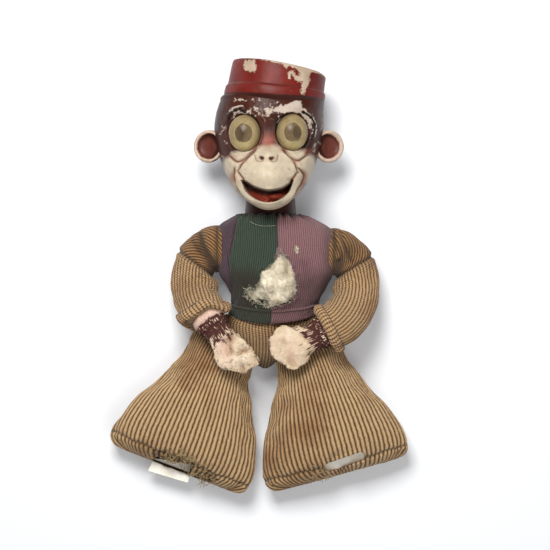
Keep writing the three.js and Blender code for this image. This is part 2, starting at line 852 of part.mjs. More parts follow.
for (const side of ["left", "right"]) {
  const { sign, mouth: cuff, handTurn, armRoute } = sides[side];
  const arm = pivotAt([sign * armholeX, armRoute[0][0], armRoute[0][2]]);
  const wrist = pivotAt([cuff[0], cuff[1], handHeight]);
  const rows = armRows(side);
  const sleeve = stuffed(rows, armShape);
  const bore = stuffed(rows, { ...armShape, inset: clothThickness, endPast: 3 });
  const cover = sleeve.subtract(bore);
  const spine = smooth(rows, [0, 1, 2]);
  const seamAt = spine.getPoint(shoulderPanelShare);
  const along = spine.getTangent(shoulderPanelShare);
  const facing = THREE.MathUtils.radToDeg(Math.atan2(along.y, along.x));
  const step = (distance) => [seamAt.x + along.x * distance, seamAt.y + along.y * distance];
  const upper = behindPlane(step(-seamGap / 2), facing);
  const lower = behindPlane(step(seamGap / 2), facing + 180);
  const throughCuff = behindPlane([cuff[0], cuff[1]], handTurn + 90);
  const pastCuff = handTurn - 90;
  const cuffDirection = new THREE.Vector2(Math.cos(radians(pastCuff)), Math.sin(radians(pastCuff)));
  const inFromMouth = (distance) => [
    cuff[0] - cuffDirection.x * distance,
    cuff[1] - cuffDirection.y * distance,
  ];
  const cuffZone = behindPlane(inFromMouth(cuffLength), handTurn + 90).subtract(throughCuff);
  const cuffRing = stuffed(rows, { ...armShape, inset: -cuffThickness, endPast: cuffThickness + 0.4 })
    .subtract(stuffed(rows, { ...armShape, inset: -fitGap, endPast: 6 }))
    .intersect(cuffZone);
  const beforeWrist = behindPlane(inFromMouth(9), pastCuff);
  const wadding = stuffed(rows, waddingShape(armShape, armShape.sides)).intersect(beforeWrist);
  add(arm, `${side}_shoulder_panel`, cover.intersect(upper), materials.corduroy);
  add(arm, `${side}_sleeve`, cover.intersect(lower), materials.corduroy);
  add(arm, `${side}_cuff`, cuffRing, materials.corduroy);
  add(arm, `${side}_arm_wadding`, wadding, materials.wadding);
  add(wrist, `${side}_hand`, hand(side), materials.bareComposition);
}

// Legs: flat bells that start thin at the hip fold and end in a broad hem

// A place on the middle line of a leg, a share of the way from its hip to its hem.
function downLeg(side, share) {
  const { sign, splay } = sides[side];
  return [
    hipCentreX + sign * (hipSpacing / 2 + Math.sin(radians(splay)) * share * legLength),
    hipY - Math.cos(radians(splay)) * share * legLength,
    legHeight,
  ];
}

function legRows(side) {
  const { sign, splay } = sides[side];
  const spread = hemHalfWidth - thighHalfWidth;
  const profile = [
    [0, thighHalfWidth, 3, 1],
    [0.1, thighHalfWidth + 0.4, 13.5, 0.75],
    [0.22, thighHalfWidth + 0.05 * spread, 19, 0.3],
    [0.4, thighHalfWidth + 0.34 * spread, legHalfDepth, 0],
    [0.6, thighHalfWidth + 0.7 * spread, legHalfDepth, 0],
    [0.78, thighHalfWidth + 0.93 * spread, legHalfDepth - 0.7, 0],
    [0.9, hemHalfWidth, legHalfDepth - 4, 0],
    [0.965, hemHalfWidth - 1.5, 10.5, 0],
    [1, hemHalfWidth - 5, 5, 0],
  ];
  return profile.map(([share, half, depth, fold]) => [
    ...downLeg(side, share),
    half,
    depth,
    sign * (splay + fold * (foldAngle - splay)),
  ]);
}
const legShape = { sections: 9, sides: 16, power: 2.3 };

// The stiff card of a hem: it hangs out of the left one, and shows through a slit in the right.
function hemCard(side, gap) {
  const { sign, splay, cardShare, cardTilt, cardSize } = sides[side];
  const size = [...cardSize, cardThickness].map((length) => length + 2 * gap);
  const [x, y, z] = downLeg(side, cardShare);
  const lift = legHalfDepth * 0.45 * Math.sin(radians(cardTilt)) - 3.5 * Math.cos(radians(cardTilt));
  const card = new THREE.BoxGeometry(...size).rotateX(radians(cardTilt));
  return placed(card, [x, y, z + lift], [0, 0, sign * splay]);
}
const slitPlan = new THREE.Shape()
  .absarc((slitWidth - slitHeight) / 2, 0, slitHeight / 2, -Math.PI / 2, Math.PI / 2)
  .absarc((slitHeight - slitWidth) / 2, 0, slitHeight / 2, Math.PI / 2, 1.5 * Math.PI);
const slit = placed(
  new THREE.ExtrudeGeometry(slitPlan, { depth: far, bevelEnabled: false, curveSegments: 5 }),
  downLeg("right", sides.right.cardShare),
  [0, 0, sides.right.splay],
);

for (const side of ["left", "right"]) {
  const leg = pivotAt(downLeg(side, 0));
  const { cover, wadding } = coverAndWadding(legRows(side), legShape);
  const cardRoom = hemCard(side, fitGap);
  const front = cover.intersect(above(legHeight + seamGap / 2)).subtract(cardRoom);
  const back = cover.intersect(below(legHeight - seamGap / 2)).subtract(cardRoom);
  add(leg, `${side}_leg_front`, side === "right" ? front.subtract(slit) : front, materials.corduroy);
  add(leg, `${side}_leg_back`, back, materials.corduroy);
  add(leg, `${side}_leg_wadding`, wadding.subtract(cardRoom), materials.wadding);
  add(leg, `${side}_hem_card`, hemCard(side, 0), materials.card);
}

export default doll;
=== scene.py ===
# %% [markdown]
# # A soft monkey doll on its back
# The doll has a hollow head and hands pressed from composition, a paste of sawdust and glue, and a
# cloth body stuffed with cotton wadding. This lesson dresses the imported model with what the
# photograph shows: sprayed and chipped paint, clouded eyes, real corduroy ribs and a torn vest.
# Lengths are written in millimetres, and turned to metres where a mesh takes them.

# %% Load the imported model
import math

import bpy
import numpy as np
from mathutils import Matrix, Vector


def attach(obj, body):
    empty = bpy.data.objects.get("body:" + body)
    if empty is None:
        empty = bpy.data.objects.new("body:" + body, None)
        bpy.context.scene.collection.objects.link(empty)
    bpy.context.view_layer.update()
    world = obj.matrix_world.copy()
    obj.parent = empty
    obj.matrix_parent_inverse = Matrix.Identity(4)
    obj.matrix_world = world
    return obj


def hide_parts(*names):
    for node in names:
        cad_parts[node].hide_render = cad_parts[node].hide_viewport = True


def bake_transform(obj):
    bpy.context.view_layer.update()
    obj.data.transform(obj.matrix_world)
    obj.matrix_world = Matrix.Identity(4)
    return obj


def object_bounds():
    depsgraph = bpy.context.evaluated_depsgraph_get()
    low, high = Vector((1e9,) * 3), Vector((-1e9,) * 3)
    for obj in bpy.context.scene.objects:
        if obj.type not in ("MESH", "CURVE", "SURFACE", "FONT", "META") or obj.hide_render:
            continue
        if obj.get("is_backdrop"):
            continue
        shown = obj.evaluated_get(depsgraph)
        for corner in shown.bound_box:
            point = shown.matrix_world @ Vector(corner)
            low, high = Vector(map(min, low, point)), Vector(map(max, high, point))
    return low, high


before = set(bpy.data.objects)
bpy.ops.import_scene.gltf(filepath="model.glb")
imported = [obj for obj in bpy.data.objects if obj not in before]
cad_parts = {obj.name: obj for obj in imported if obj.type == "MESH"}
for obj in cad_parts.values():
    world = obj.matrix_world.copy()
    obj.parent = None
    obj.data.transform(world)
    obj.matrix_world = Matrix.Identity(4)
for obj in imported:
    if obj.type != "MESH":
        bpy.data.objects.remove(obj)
cad_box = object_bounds()
MM = 0.001
print("CAD box", [[round(value, 4) for value in corner] for corner in cad_box])

# %% [markdown]
# ## The camera
# The photograph looks straight down on the doll. A long lens 1.5 m above it gives 0.82 mm to the
# pixel at the floor. The same sum run the other way tells where any point of the doll lands in the
# photograph, so that paint and creases can be placed from it.

# %% Place the camera over the doll
CAMERA = (-0.4, -4.1, 1500.0)
PIXEL = 0.82
bpy.ops.object.select_all(action="DESELECT")
bpy.ops.object.camera_add(location=[value * MM for value in CAMERA], rotation=(0, 0, 0))
camera = bpy.context.object
camera.name = "photo_camera"
camera.data.sensor_width = 36
camera.data.lens = 36 * CAMERA[2] / (550 * PIXEL)
camera.data.clip_end = 10
bpy.context.scene.camera = camera


def in_photo(points):
    """The pixel of the photograph that each point lands on, for points in millimetres."""
    points = np.asarray(points, float)
    scale = PIXEL * (1 - points[..., 2] / CAMERA[2])
    across = 275 + (points[..., 0] - CAMERA[0]) / scale
    down = 275 - (points[..., 1] - CAMERA[1]) / scale
    return np.stack([across, down], -1)


print("Lens", round(camera.data.lens, 1), "mm")

# %% [markdown]
# ## Shapes of stuffed cloth
# A stuffed limb is a row of oval sections along a bent middle line. Each row of a table gives one
# section: where it is, its half width, its half depth and the direction of its width. A smooth
# curve through the rows gives all the sections between.

# %% Read a smooth section anywhere along a limb
def curved(points, weight):
    """The smooth curve through four rows of values, a share of the way from the second to the third."""
    before, here, there, after = points
    leave, arrive = (there - before) / 2, (after - here) / 2
    bend = 3 * (there - here) - 2 * leave - arrive
    twist = 2 * (here - there) + leave + arrive
    return here + weight * leave + weight**2 * bend + weight**3 * twist


def smooth(rows, along):
    """Places on the smooth curve through the rows, at shares of its length."""
    rows = np.asarray(rows, float)
    last = len(rows) - 1
    place = np.clip(np.asarray(along, float), 0, 1) * last
    first = np.minimum(place.astype(int), last - 1)
    weight = (place - first).reshape(place.shape + (1,) * (rows.ndim - 1))
    padded = np.concatenate([2 * rows[:1] - rows[1:2], rows, 2 * rows[-1:] - rows[-2:-1]])
    return curved([padded[first + step] for step in range(4)], weight)


def blend_in(value):
    """A smooth step from 0 to 1 over values from 0 to 1."""
    value = np.clip(value, 0, 1)
    return value * value * (3 - 2 * value)


def hump(far, wide):
    """A soft hump: 1 where the distance is 0, and about a third at its width."""
    return np.exp(-((far / wide) ** 2))


def spot(places, x, y, wide, high):
    """A soft round spot round a place of the photograph or of a view of it."""
    return np.exp(-np.hypot((places[..., 0] - x) / wide, (places[..., 1] - y) / high) ** 2)


def going_round(columns):
    """Evenly spread shares of a full turn, the last on top of the first."""
    return np.arange(columns + 1) / columns


def along_rows(skin):
    """How far along its row each point of a table lies from the first column."""
    steps = np.linalg.norm(np.diff(skin, axis=1), axis=-1)
    return np.concatenate([np.zeros((len(skin), 1)), np.cumsum(steps, axis=1)], axis=1)


def girths(skin):
    """The distance round each row of a table of points."""
    return np.linalg.norm(np.diff(skin, axis=1), axis=-1).sum(1)[:, None]


def rounded(value, power):
    return np.sign(value) * np.abs(value) ** (2 / power)


def oval(rows, along, angle, power):
    """The skin of a limb at a share of its length and an angle round it."""
    x, y, z, half, depth, turn = np.moveaxis(smooth(rows, along), -1, 0)
    turn = np.radians(turn)
    wide = half * rounded(np.cos(angle), power)
    deep = depth * rounded(np.sin(angle), power)
    return np.stack([x + wide * np.cos(turn), y + wide * np.sin(turn), z + deep], -1)


# %% Spread columns evenly round the sections
def even_ring(rows, shares, columns, power, floor=0.0):
    """Sections of evenly spread points: the front half from side to side, then the back half."""
    angle = np.linspace(0, 2 * np.pi, 721)
    rings = np.empty((len(shares), columns, 3))
    for row, along in enumerate(shares):
        ring = oval(rows, np.full(721, along), angle, power)
        length = np.concatenate([[0], np.cumsum(np.linalg.norm(np.diff(ring, axis=0), axis=1))])
        half = length[360]
        front = np.linspace(0, half, columns // 2 + 1)[:-1]
        back = np.linspace(half, length[-1], columns // 2 + 1)[:-1]
        at = np.interp(np.concatenate([front, back]), length, angle)
        rings[row] = oval(rows, np.full(columns, along), at, power)
    rings[..., 2] = np.maximum(rings[..., 2], floor)
    return rings


def round_ring(rings, around):
    """A closed table of rings read at shares round them, one row of shares for each ring."""
    columns = rings.shape[1]
    place = (np.asarray(around) % 1.0) * columns
    first = place.astype(int)
    weight = (place - first)[..., None]
    row = np.arange(len(rings))[:, None]
    return curved([rings[row, (first + step) % columns] for step in (-1, 0, 1, 2)], weight)


def outward(points):
    """The outward direction at each place of a table of rows and columns of points."""
    down = np.gradient(points, axis=0)
    across = np.gradient(points, axis=1)
    normal = np.cross(across, down)
    normal /= np.linalg.norm(normal, axis=-1, keepdims=True) + 1e-9
    middle = points.mean(axis=1, keepdims=True)
    inside = ((points - middle) * normal).sum(-1) < 0
    return np.where((inside.mean() > 0.5), -normal, normal)


def distances(points):
    """How far along its column each point of a table lies from the first row."""
    steps = np.linalg.norm(np.diff(points, axis=0), axis=-1)
    return np.concatenate([np.zeros((1, points.shape[1])), np.cumsum(steps, axis=0)])


print("A smooth section half way:", smooth([[0, 0], [1, 2], [2, 3]], [0.5])[0])

# %% [markdown]
# ## A cloth from a grid
# Cloth is flat before it is sewn, so each panel starts as a grid primitive and is rolled round its
# limb. The grid's own map is rewritten so that its first number counts the ribs of the cloth and
# its second is the length along a rib in millimetres. The weave then follows the cloth wherever it
# goes, as a real weave does.

# %% Roll a grid primitive round a table of points
WELD = 2e-6


def pick(*pieces):
    """Selects these pieces alone and makes the first one active."""
    bpy.ops.object.select_all(action="DESELECT")
    for piece in pieces:
        piece.select_set(True)
    bpy.context.view_layer.objects.active = pieces[0]


def modified(piece, kind, **settings):
    """Gives the piece a modifier with its settings and applies it."""
    pick(piece)
    change = piece.modifiers.new(kind.lower(), kind)
    for setting, value in settings.items():
        setattr(change, setting, value)
    bpy.ops.object.modifier_apply(modifier=change.name)


def started(name, add_primitive, **sizes):
    """A new piece from one of Blender's primitives, with nothing else selected."""
    bpy.ops.object.select_all(action="DESELECT")
    add_primitive(**sizes)
    piece = bpy.context.object
    piece.name = piece.data.name = name
    return piece


def faces_outward(weld=False, cap=False):
    """Turns the active piece's faces outward, after welding its seams or capping its ends."""
    bpy.ops.object.mode_set(mode="EDIT")
    bpy.ops.mesh.select_all(action="SELECT")
    if weld:
        bpy.ops.mesh.remove_doubles(threshold=WELD)
    if cap:
        bpy.ops.mesh.fill_holes(sides=0)
        bpy.ops.mesh.select_all(action="SELECT")
    bpy.ops.mesh.normals_make_consistent(inside=False)
    bpy.ops.object.mode_set(mode="OBJECT")


def read_mesh(items, key, kind=float):
    """One row for each item of a mesh: its place, centre or direction."""
    values = np.empty(len(items) * 3, kind)
    items.foreach_get(key, values)
    return values.reshape(-1, 3)


def read_points(mesh):
    return read_mesh(mesh.vertices, "co") / MM


def write_points(piece, points):
    piece.data.vertices.foreach_set("co", (np.asarray(points) * MM).ravel())
    piece.data.update()


def directions(piece):
    """The outward direction at each vertex."""
    return read_mesh(piece.data.vertex_normals, "vector", np.float32).astype(float)


def rolled(name, points, ribs=None, lengths=None, closed=True):
    """A grid whose places go to the points, in millimetres, mapped by its ribs and lengths."""
    rows, columns = points.shape[0] - 1, points.shape[1] - 1
    ribs = np.zeros(points.shape[:2]) if ribs is None else ribs
    lengths = np.zeros(points.shape[:2]) if lengths is None else lengths
    add_grid = bpy.ops.mesh.primitive_grid_add
    piece = started(name, add_grid, x_subdivisions=columns, y_subdivisions=rows, size=1)
    mesh = piece.data
    flat = read_mesh(mesh.vertices, "co")
    column = np.rint((flat[:, 0] + 0.5) * columns).astype(int)
    row = np.rint((flat[:, 1] + 0.5) * rows).astype(int)
    mesh.vertices.foreach_set("co", (points[row, column] * MM).ravel())
    corner = np.empty(len(mesh.loops), int)
    mesh.loops.foreach_get("vertex_index", corner)
    woven = np.stack([ribs[row, column], lengths[row, column]], -1)
    mesh.uv_layers[0].name = "cloth"
    mesh.uv_layers[0].data.foreach_set("uv", woven[corner].ravel())
    kept = mesh.attributes.new("spot", "INT", "POINT")
    kept.data.foreach_set("value", (row * (columns + 1) + column).astype(np.int32))
    if closed:
        faces_outward(weld=True, cap=True)
    bpy.ops.object.shade_smooth()
    return piece


def face_away(piece, middle):
    """Turns the faces of an open cloth so that they look away from a point inside the body."""
    faces = piece.data.polygons
    away = read_mesh(faces, "center") / MM - np.array(middle)
    if (read_mesh(faces, "normal") * away).sum(axis=1).mean() < 0:
        piece.data.flip_normals()


def spots(mesh):
    """Where in its table each vertex of a rolled grid came from."""
    found = np.empty(len(mesh.vertices), np.int32)
    mesh.attributes["spot"].data.foreach_get("value", found)
    return found


def laid(piece, table):
    """The value of a table at each vertex of the grid that was rolled on it."""
    return table.reshape(-1)[np.clip(spots(piece.data), 0, table.size - 1)]


def note_on(piece, name, values):
    """Keeps a number at each vertex of a piece, for its material to read."""
    kept = piece.data.attributes.new(name, "FLOAT", "POINT")
    kept.data.foreach_set("value", np.asarray(values, np.float32).ravel())


# %% [markdown]
# ## Stuffing by cloth simulation
# Wadding pushes cloth out between the lines where it is sewn. A coarse copy of each cover gets
# Blender's Cloth with some pressure, no gravity, and a few per cent more cloth than its shape
# needs, so that it swells and buckles as a stuffed cover does. The sewn lines are pinned. What the
# cloth did is read back, and the fine ribs are laid over it afterwards.

# %% Let the wadding push a cover out
def stuffed(name, rings, sewn_columns, pressure=60, spare=0.03, cap=3.0):
    """The rings of a closed cover after its wadding has pushed it out, moved a capped distance."""
    rows, columns = rings.shape[0], rings.shape[1]
    closed = np.concatenate([rings, rings[:, :1]], axis=1)
    form = rolled(name + "_form", closed)
    row, column = np.divmod(spots(form.data), columns + 1)
    column = column % columns
    sewn = (row == 0) | (row == rows - 1) | np.isin(column, sewn_columns)
    group = form.vertex_groups.new(name="sewn")
    group.add([int(index) for index in np.nonzero(sewn)[0]], 1.0, "REPLACE")
    before = read_points(form.data)
    wadding = form.modifiers.new("wadding", "CLOTH")
    cloth = wadding.settings
    cloth.quality = 5
    cloth.use_pressure = True
    cloth.uniform_pressure_force = pressure
    cloth.effector_weights.gravity = 0
    cloth.vertex_group_mass = "sewn"
    cloth.shrink_min = -spare
    cloth.bending_stiffness = 0.05
    wadding.point_cache.frame_start = 1
    wadding.point_cache.frame_end = 20
    for step in range(1, 21):
        bpy.context.scene.frame_set(step)
    evaluated = form.evaluated_get(bpy.context.evaluated_depsgraph_get())
    after = read_points(evaluated.to_mesh())
    evaluated.to_mesh_clear()
    moved = after - before
    far = np.linalg.norm(moved, axis=1, keepdims=True)
    moved *= np.minimum(1, cap / np.maximum(far, 1e-6))
    result = rings.copy()
    result[row, column] = before + moved
    bpy.data.objects.remove(form, do_unlink=True)
    bpy.context.scene.frame_set(1)
    print(name, "swelled by up to", round(float(np.minimum(far, cap).max()), 1), "mm")
    return result


# %% [markdown]
# ## Lines and patches drawn on a surface
# Creases, seams, worn places and painted lines are all drawn as strokes or outlines. Two helpers
# measure how far each point of a surface is from a stroke, and how deep it is inside an outline.

# %% Measure from a stroke and into an outline
def from_stroke(points, stroke, steps=6):
    """How far each 2D point is from a smooth stroke, and how far along it its nearest place is."""
    stroke = np.asarray(stroke, float)
    line = smooth(stroke, np.linspace(0, 1, steps * (len(stroke) - 1) + 1))
    best = np.full(points.shape[:-1], np.inf)
    along = np.zeros(points.shape[:-1])
    for index, (start, end) in enumerate(zip(line[:-1], line[1:])):
        step = end - start
        share = np.clip(((points - start) @ step) / (step @ step + 1e-12), 0, 1)
        far = np.linalg.norm(points - start - share[..., None] * step, axis=-1)
        nearer = far < best
        best = np.where(nearer, far, best)
        along = np.where(nearer, (index + share) / (len(line) - 1), along)
    return best, along


def inside_outline(points, outline):
    """How deep each 2D point is inside a closed outline; outside it is negative."""
    outline = np.asarray(outline, float)
    following = np.roll(outline, -1, axis=0)
    inside = np.zeros(points.shape[:-1], bool)
    far = np.full(points.shape[:-1], np.inf)
    for start, end in zip(outline, following):
        step = end - start
        share = np.clip(((points - start) @ step) / (step @ step + 1e-12), 0, 1)
        far = np.minimum(far, np.linalg.norm(points - start - share[..., None] * step, axis=-1))
        rise = end[1] - start[1]
        if rise:
            crossing = start[0] + (points[..., 1] - start[1]) / rise * step[0]
            spans = (start[1] > points[..., 1]) != (end[1] > points[..., 1])
            inside ^= spans & (points[..., 0] < crossing)
    return np.where(inside, far, -far)


def ripple(points, size, seed=0):
    """A smooth unevenness from -1 to 1 over 3D points, the same on every run."""
    rng = np.random.default_rng(seed)
    total = np.zeros(points.shape[:-1])
    for _ in range(7):
        wave = rng.normal(size=3)
        wave *= 2 * np.pi / (size * np.linalg.norm(wave) * rng.uniform(0.7, 1.5))
        total += np.sin(points @ wave + rng.uniform(0, 2 * np.pi))
    return total / 3.5


print(
    "Inside a unit square's middle:",
    inside_outline(np.array([[0.5, 0.5]]), [(0, 0), (1, 0), (1, 1), (0, 1)]),
)

# %% [markdown]
# ## Finishes
# Each finish starts from the real material and how its surface was made. Colours are written as
# sRGB hex and turned to linear by one function, and one small function adds a node with its
# settings and links.

# %% Colours, nodes and a new finish
def linear(hex_colour):
    """The linear colour of an sRGB hex value."""
    parts = [int(hex_colour[at:at + 2], 16) / 255 for at in (1, 3, 5)]
    return [p / 12.92 if p <= 0.04045 else ((p + 0.055) / 1.055) ** 2.4 for p in parts] + [1.0]


def node(tree, kind, inputs=None, stops=None, **settings):
    """Adds a node with its settings, its inputs as values or links, and its colour stops."""
    made = tree.nodes.new("ShaderNode" + kind)
    for setting, value in settings.items():
        setattr(made, setting, value)
    for socket, value in (inputs or {}).items():
        if isinstance(value, bpy.types.NodeSocket):
            tree.links.new(value, made.inputs[socket])
        else:
            made.inputs[socket].default_value = value
    if stops:
        ramp = made.color_ramp
        while len(ramp.elements) < len(stops):
            ramp.elements.new(0.5)
        for element, (place, colour) in zip(ramp.elements, stops):
            element.position = place
            element.color = linear(colour) if isinstance(colour, str) else [colour] * 3 + [1]
    return made


def new_finish(name):
    """A material with its node tree and its surface shader."""
    material = bpy.data.materials.new(name)
    material.use_nodes = True
    tree = material.node_tree
    return material, tree, tree.nodes["Principled BSDF"]


def wear(piece, material):
    """Gives a piece its only material."""
    piece.data.materials.clear()
    piece.data.materials.append(material)


def dress(piece, material, body=None, nodes=()):
    """Gives a piece its material, hangs it on the body it rides on and hides the imported parts it stands
    for, when these are given.
    """
    wear(piece, material)
    if body:
        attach(piece, body)
    if nodes:
        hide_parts(*nodes)
    print(piece.name, len(piece.data.polygons), "faces")


# %% [markdown]
# ## Corduroy
# Corduroy is cotton with its pile cut into raised ribs, the wales. The trousers' wales are 3.6 mm
# apart. Pile catches the light on top of a wale, the bare ground between two wales is dark with
# shade and dirt, and where the pile has rubbed away the cross threads show as fine rungs. The
# cloth's own map counts wales, so one sine of it gives both the tops and the grooves.

# %% Make the corduroy finishes
# Dirt and painted shade both darken the cloth towards this colour.
SOIL_AND_SHADE = "#2B2017"


def ribbed_cloth(name, colours, stained, groove_width=0.35, rungs=0.35, fuzz=1.0, pale=None,
                 rung_spacing=1.1, bare_from=0.48):
    """Corduroy in the colours of its wale's top, its pile, its grooves and its stains."""
    top, pile, groove, stain = colours
    material, tree, surface = new_finish(name)
    woven = node(tree, "UVMap", uv_map="cloth")
    place = node(tree, "TexCoord").outputs["Object"]
    split = node(tree, "SeparateXYZ", {"Vector": woven.outputs["UV"]})
    # The pile leans this way and that: a slow wander of the rib line, 4 mm long.
    wander = node(tree, "TexNoise", {"Vector": place, "Scale": 260.0, "Detail": 3.0})
    shift = node(tree, "Math", {0: wander.outputs["Fac"], 1: 0.36, 2: -0.18}, operation="MULTIPLY_ADD")
    across = node(tree, "Math", {0: split.outputs["X"], 1: shift.outputs[0]}, operation="ADD")
    phase = node(tree, "Math", {0: across.outputs[0], 1: math.pi}, operation="MULTIPLY")
    wave = node(tree, "Math", {0: phase.outputs[0]}, operation="SINE")
    rib = node(tree, "Math", {0: wave.outputs[0]}, operation="ABSOLUTE")
    # Tufts of the pile, about 1 mm.
    tufts = node(tree, "TexNoise", {"Vector": place, "Scale": 950.0, "Detail": 4.0, "Roughness": 0.75})
    # Cross threads, as coarse as they need to be to show.
    thread = node(
        tree, "Math", {0: split.outputs["Y"], 1: 2 * math.pi / rung_spacing}, operation="MULTIPLY",
    )
    rung = node(tree, "Math", {0: thread.outputs[0]}, operation="SINE")
    worn = node(tree, "TexNoise", {"Vector": place, "Scale": 34.0, "Detail": 4.0, "Roughness": 0.65})
    bare = node(
        tree, "ValToRGB", {"Fac": worn.outputs["Fac"]}, stops=[(bare_from, 0.0), (bare_from + 0.18, 1.0)],
    )
    rubbed = node(tree, "Math", {0: bare.outputs["Color"], 1: rungs}, operation="MULTIPLY")
    rung_dark = node(tree, "Math", {0: rung.outputs[0], 1: rubbed.outputs[0]}, operation="MULTIPLY")
    speck = node(tree, "Math", {0: tufts.outputs["Fac"], 1: 1.15, 2: -0.575}, operation="MULTIPLY_ADD")
    height = node(tree, "Math", {0: rib.outputs[0], 1: speck.outputs[0]}, operation="ADD")
    level = node(
        tree, "Math", {0: rung_dark.outputs[0], 1: -0.3, 2: height.outputs[0]}, operation="MULTIPLY_ADD",
    )
    # The dark grooves are dirt and painted shade, and the pale tops are the pile's own colour and a painted
    # highlight.
    colour = node(
        tree, "ValToRGB", {"Fac": level.outputs[0]},
        stops=[(groove_width * 0.55, groove), (groove_width + 0.25, pile), (1.0, top)],
    )
    blot = node(tree, "TexNoise", {"Vector": place, "Scale": 22.0, "Detail": 5.0, "Roughness": 0.6})
    stains = node(tree, "ValToRGB", {"Fac": blot.outputs["Fac"]}, stops=[(0.5, 0.0), (0.72, stained)])
    dirty = node(
        tree, "Mix", {0: stains.outputs["Color"], 6: colour.outputs["Color"], 7: linear(stain)},
        data_type="RGBA", blend_type="MULTIPLY",
    )
    result = dirty.outputs[2]
    if pale:
        lint = node(tree, "TexNoise", {"Vector": place, "Scale": 700.0, "Detail": 6.0, "Roughness": 0.8})
        flecks = node(tree, "ValToRGB", {"Fac": lint.outputs["Fac"]}, stops=[(0.62, 0.0), (0.74, 0.55)])
        result = node(
            tree, "Mix", {0: flecks.outputs["Color"], 6: result, 7: linear(pale)}, data_type="RGBA",
        ).outputs[2]
    # Each piece notes how far it darkens towards that colour, for dirt and for painted shade.
    dirt_and_shade = node(tree, "Attribute", attribute_name="soil_and_shade")
    result = node(
        tree, "Mix", {0: dirt_and_shade.outputs["Fac"], 6: result, 7: linear(SOIL_AND_SHADE)}, data_type="RGBA",
    ).outputs[2]
    tree.links.new(result, surface.inputs["Base Color"])
    surface.inputs["Roughness"].default_value = 0.95
    surface.inputs["Specular IOR Level"].default_value = 0.15
    surface.inputs["Sheen Weight"].default_value = 0.12
    surface.inputs["Sheen Roughness"].default_value = 0.6
    relief = node(
        tree, "Math", {0: tufts.outputs["Fac"], 1: 0.9 * fuzz, 2: rib.outputs[0]},
        operation="MULTIPLY_ADD",
    )
    ladder = node(
        tree, "Math", {0: rung_dark.outputs[0], 1: 0.5, 2: relief.outputs[0]}, operation="MULTIPLY_ADD",
    )
    bump = node(tree, "Bump", {"Height": ladder.outputs[0], "Strength": 0.6, "Distance": 0.00045})
    tree.links.new(bump.outputs["Normal"], surface.inputs["Normal"])
    return material


khaki_corduroy = ribbed_cloth("khaki_corduroy", ("#C2A078", "#977A52", "#50391F", "#A87D50"), 0.7)
laddered_corduroy = ribbed_cloth(
    "laddered_corduroy", ("#B7946B", "#917350", "#573F27", "#A67B54"), 0.75, rungs=0.85,
    rung_spacing=1.9, bare_from=0.3,
)
worn_corduroy = ribbed_cloth(
    "worn_corduroy", ("#9A7549", "#785433", "#3A2618", "#8E5230"), 1.0, 0.42, 0.5, bare_from=0.4,
)
green_needlecord = ribbed_cloth(
    "green_needlecord", ("#3C4839", "#2C372C", "#1A221B", "#6F7A66"), 0.7, 0.2, 0.2, 0.9, "#6A7464",
)
mauve_needlecord = ribbed_cloth(
    "mauve_needlecord", ("#8A6566", "#735052", "#4E3538", "#8F7896"), 0.8, 0.2, 0.2, 0.9, "#A58A86",
)
plum_needlecord = ribbed_cloth(
    "plum_needlecord", ("#543D46", "#403037", "#261B20", "#94829A"), 0.7, 0.2, 0.2, 0.9,
)
print("Cloths:", khaki_corduroy.name, green_needlecord.name, mauve_needlecord.name, plum_needlecord.name)

# %% [markdown]
# ## Cotton wadding, thread and card
# Wadding is loose cotton fibre: matt, off-white, yellowed in its hollows, and soft because light
# goes a little way into it. The cards in the hems are grey-white pulp board with a dull face.

# %% Make the wadding, thread and card finishes
def plain_fibre(name, light, dark, size, strength, depth, roughness=1.0, under_skin=0.0):
    """A matt fibrous material: two shades mixed by a noise of a size in millimetres, with relief."""
    material, tree, surface = new_finish(name)
    place = node(tree, "TexCoord").outputs["Object"]
    cloud = node(
        tree, "TexNoise", {"Vector": place, "Scale": 1000 / size, "Detail": 6.0, "Roughness": 0.65},
    )
    shade = node(tree, "ValToRGB", {"Fac": cloud.outputs["Fac"]}, stops=[(0.32, dark), (0.62, light)])
    tree.links.new(shade.outputs["Color"], surface.inputs["Base Color"])
    surface.inputs["Roughness"].default_value = roughness
    surface.inputs["Specular IOR Level"].default_value = 0.1
    surface.inputs["Subsurface Weight"].default_value = under_skin
    surface.inputs["Subsurface Radius"].default_value = (0.004, 0.003, 0.002)
    fine = node(tree, "TexNoise", {"Vector": place, "Scale": 3000 / size, "Detail": 5.0, "Roughness": 0.75})
    bump = node(tree, "Bump", {"Height": fine.outputs["Fac"], "Strength": strength, "Distance": depth})
    tree.links.new(bump.outputs["Normal"], surface.inputs["Normal"])
    return material


cotton_wadding = plain_fibre("cotton_wadding", "#E4DAC4", "#A8967A", 6.0, 0.7, 0.0008, 1.0, 0.1)
cotton_fibre = plain_fibre("cotton_fibre", "#E9E1CC", "#CFC2A0", 4.0, 0.3, 0.0003)
grey_pulp_card = plain_fibre("grey_pulp_card", "#FBF6EA", "#E6DDCB", 14.0, 0.35, 0.0002, 0.8)
khaki_thread = plain_fibre("khaki_thread", "#BFA77C", "#7D6540", 3.0, 0.3, 0.0002)
green_thread = plain_fibre("green_thread", "#5D6C5A", "#2B3A31", 3.0, 0.3, 0.0002)
mauve_thread = plain_fibre("mauve_thread", "#94717C", "#5B3F4C", 3.0, 0.3, 0.0002)
waxed_twine = plain_fibre("waxed_twine", "#3A2F28", "#1F1814", 2.0, 0.5, 0.0003, 0.6)
print("Fibres:", cotton_wadding.name, grey_pulp_card.name, waxed_twine.name)

# %% [markdown]
# ## Sprayed composition
# The head was pressed in a mould, dipped in a pale ground coat and sprayed: maroon-brown fur,
# ivory face, orange-red blush from an airbrush, and fine lines put in by hand. The enamel has a
# satin gloss, and has come off in flakes down to the pale ground. Where each paint lies is kept
# on the mesh as numbers that run from below 0 outside to above 0 inside, and a little noise
# is added before they are cut off, which gives flakes their ragged edges.

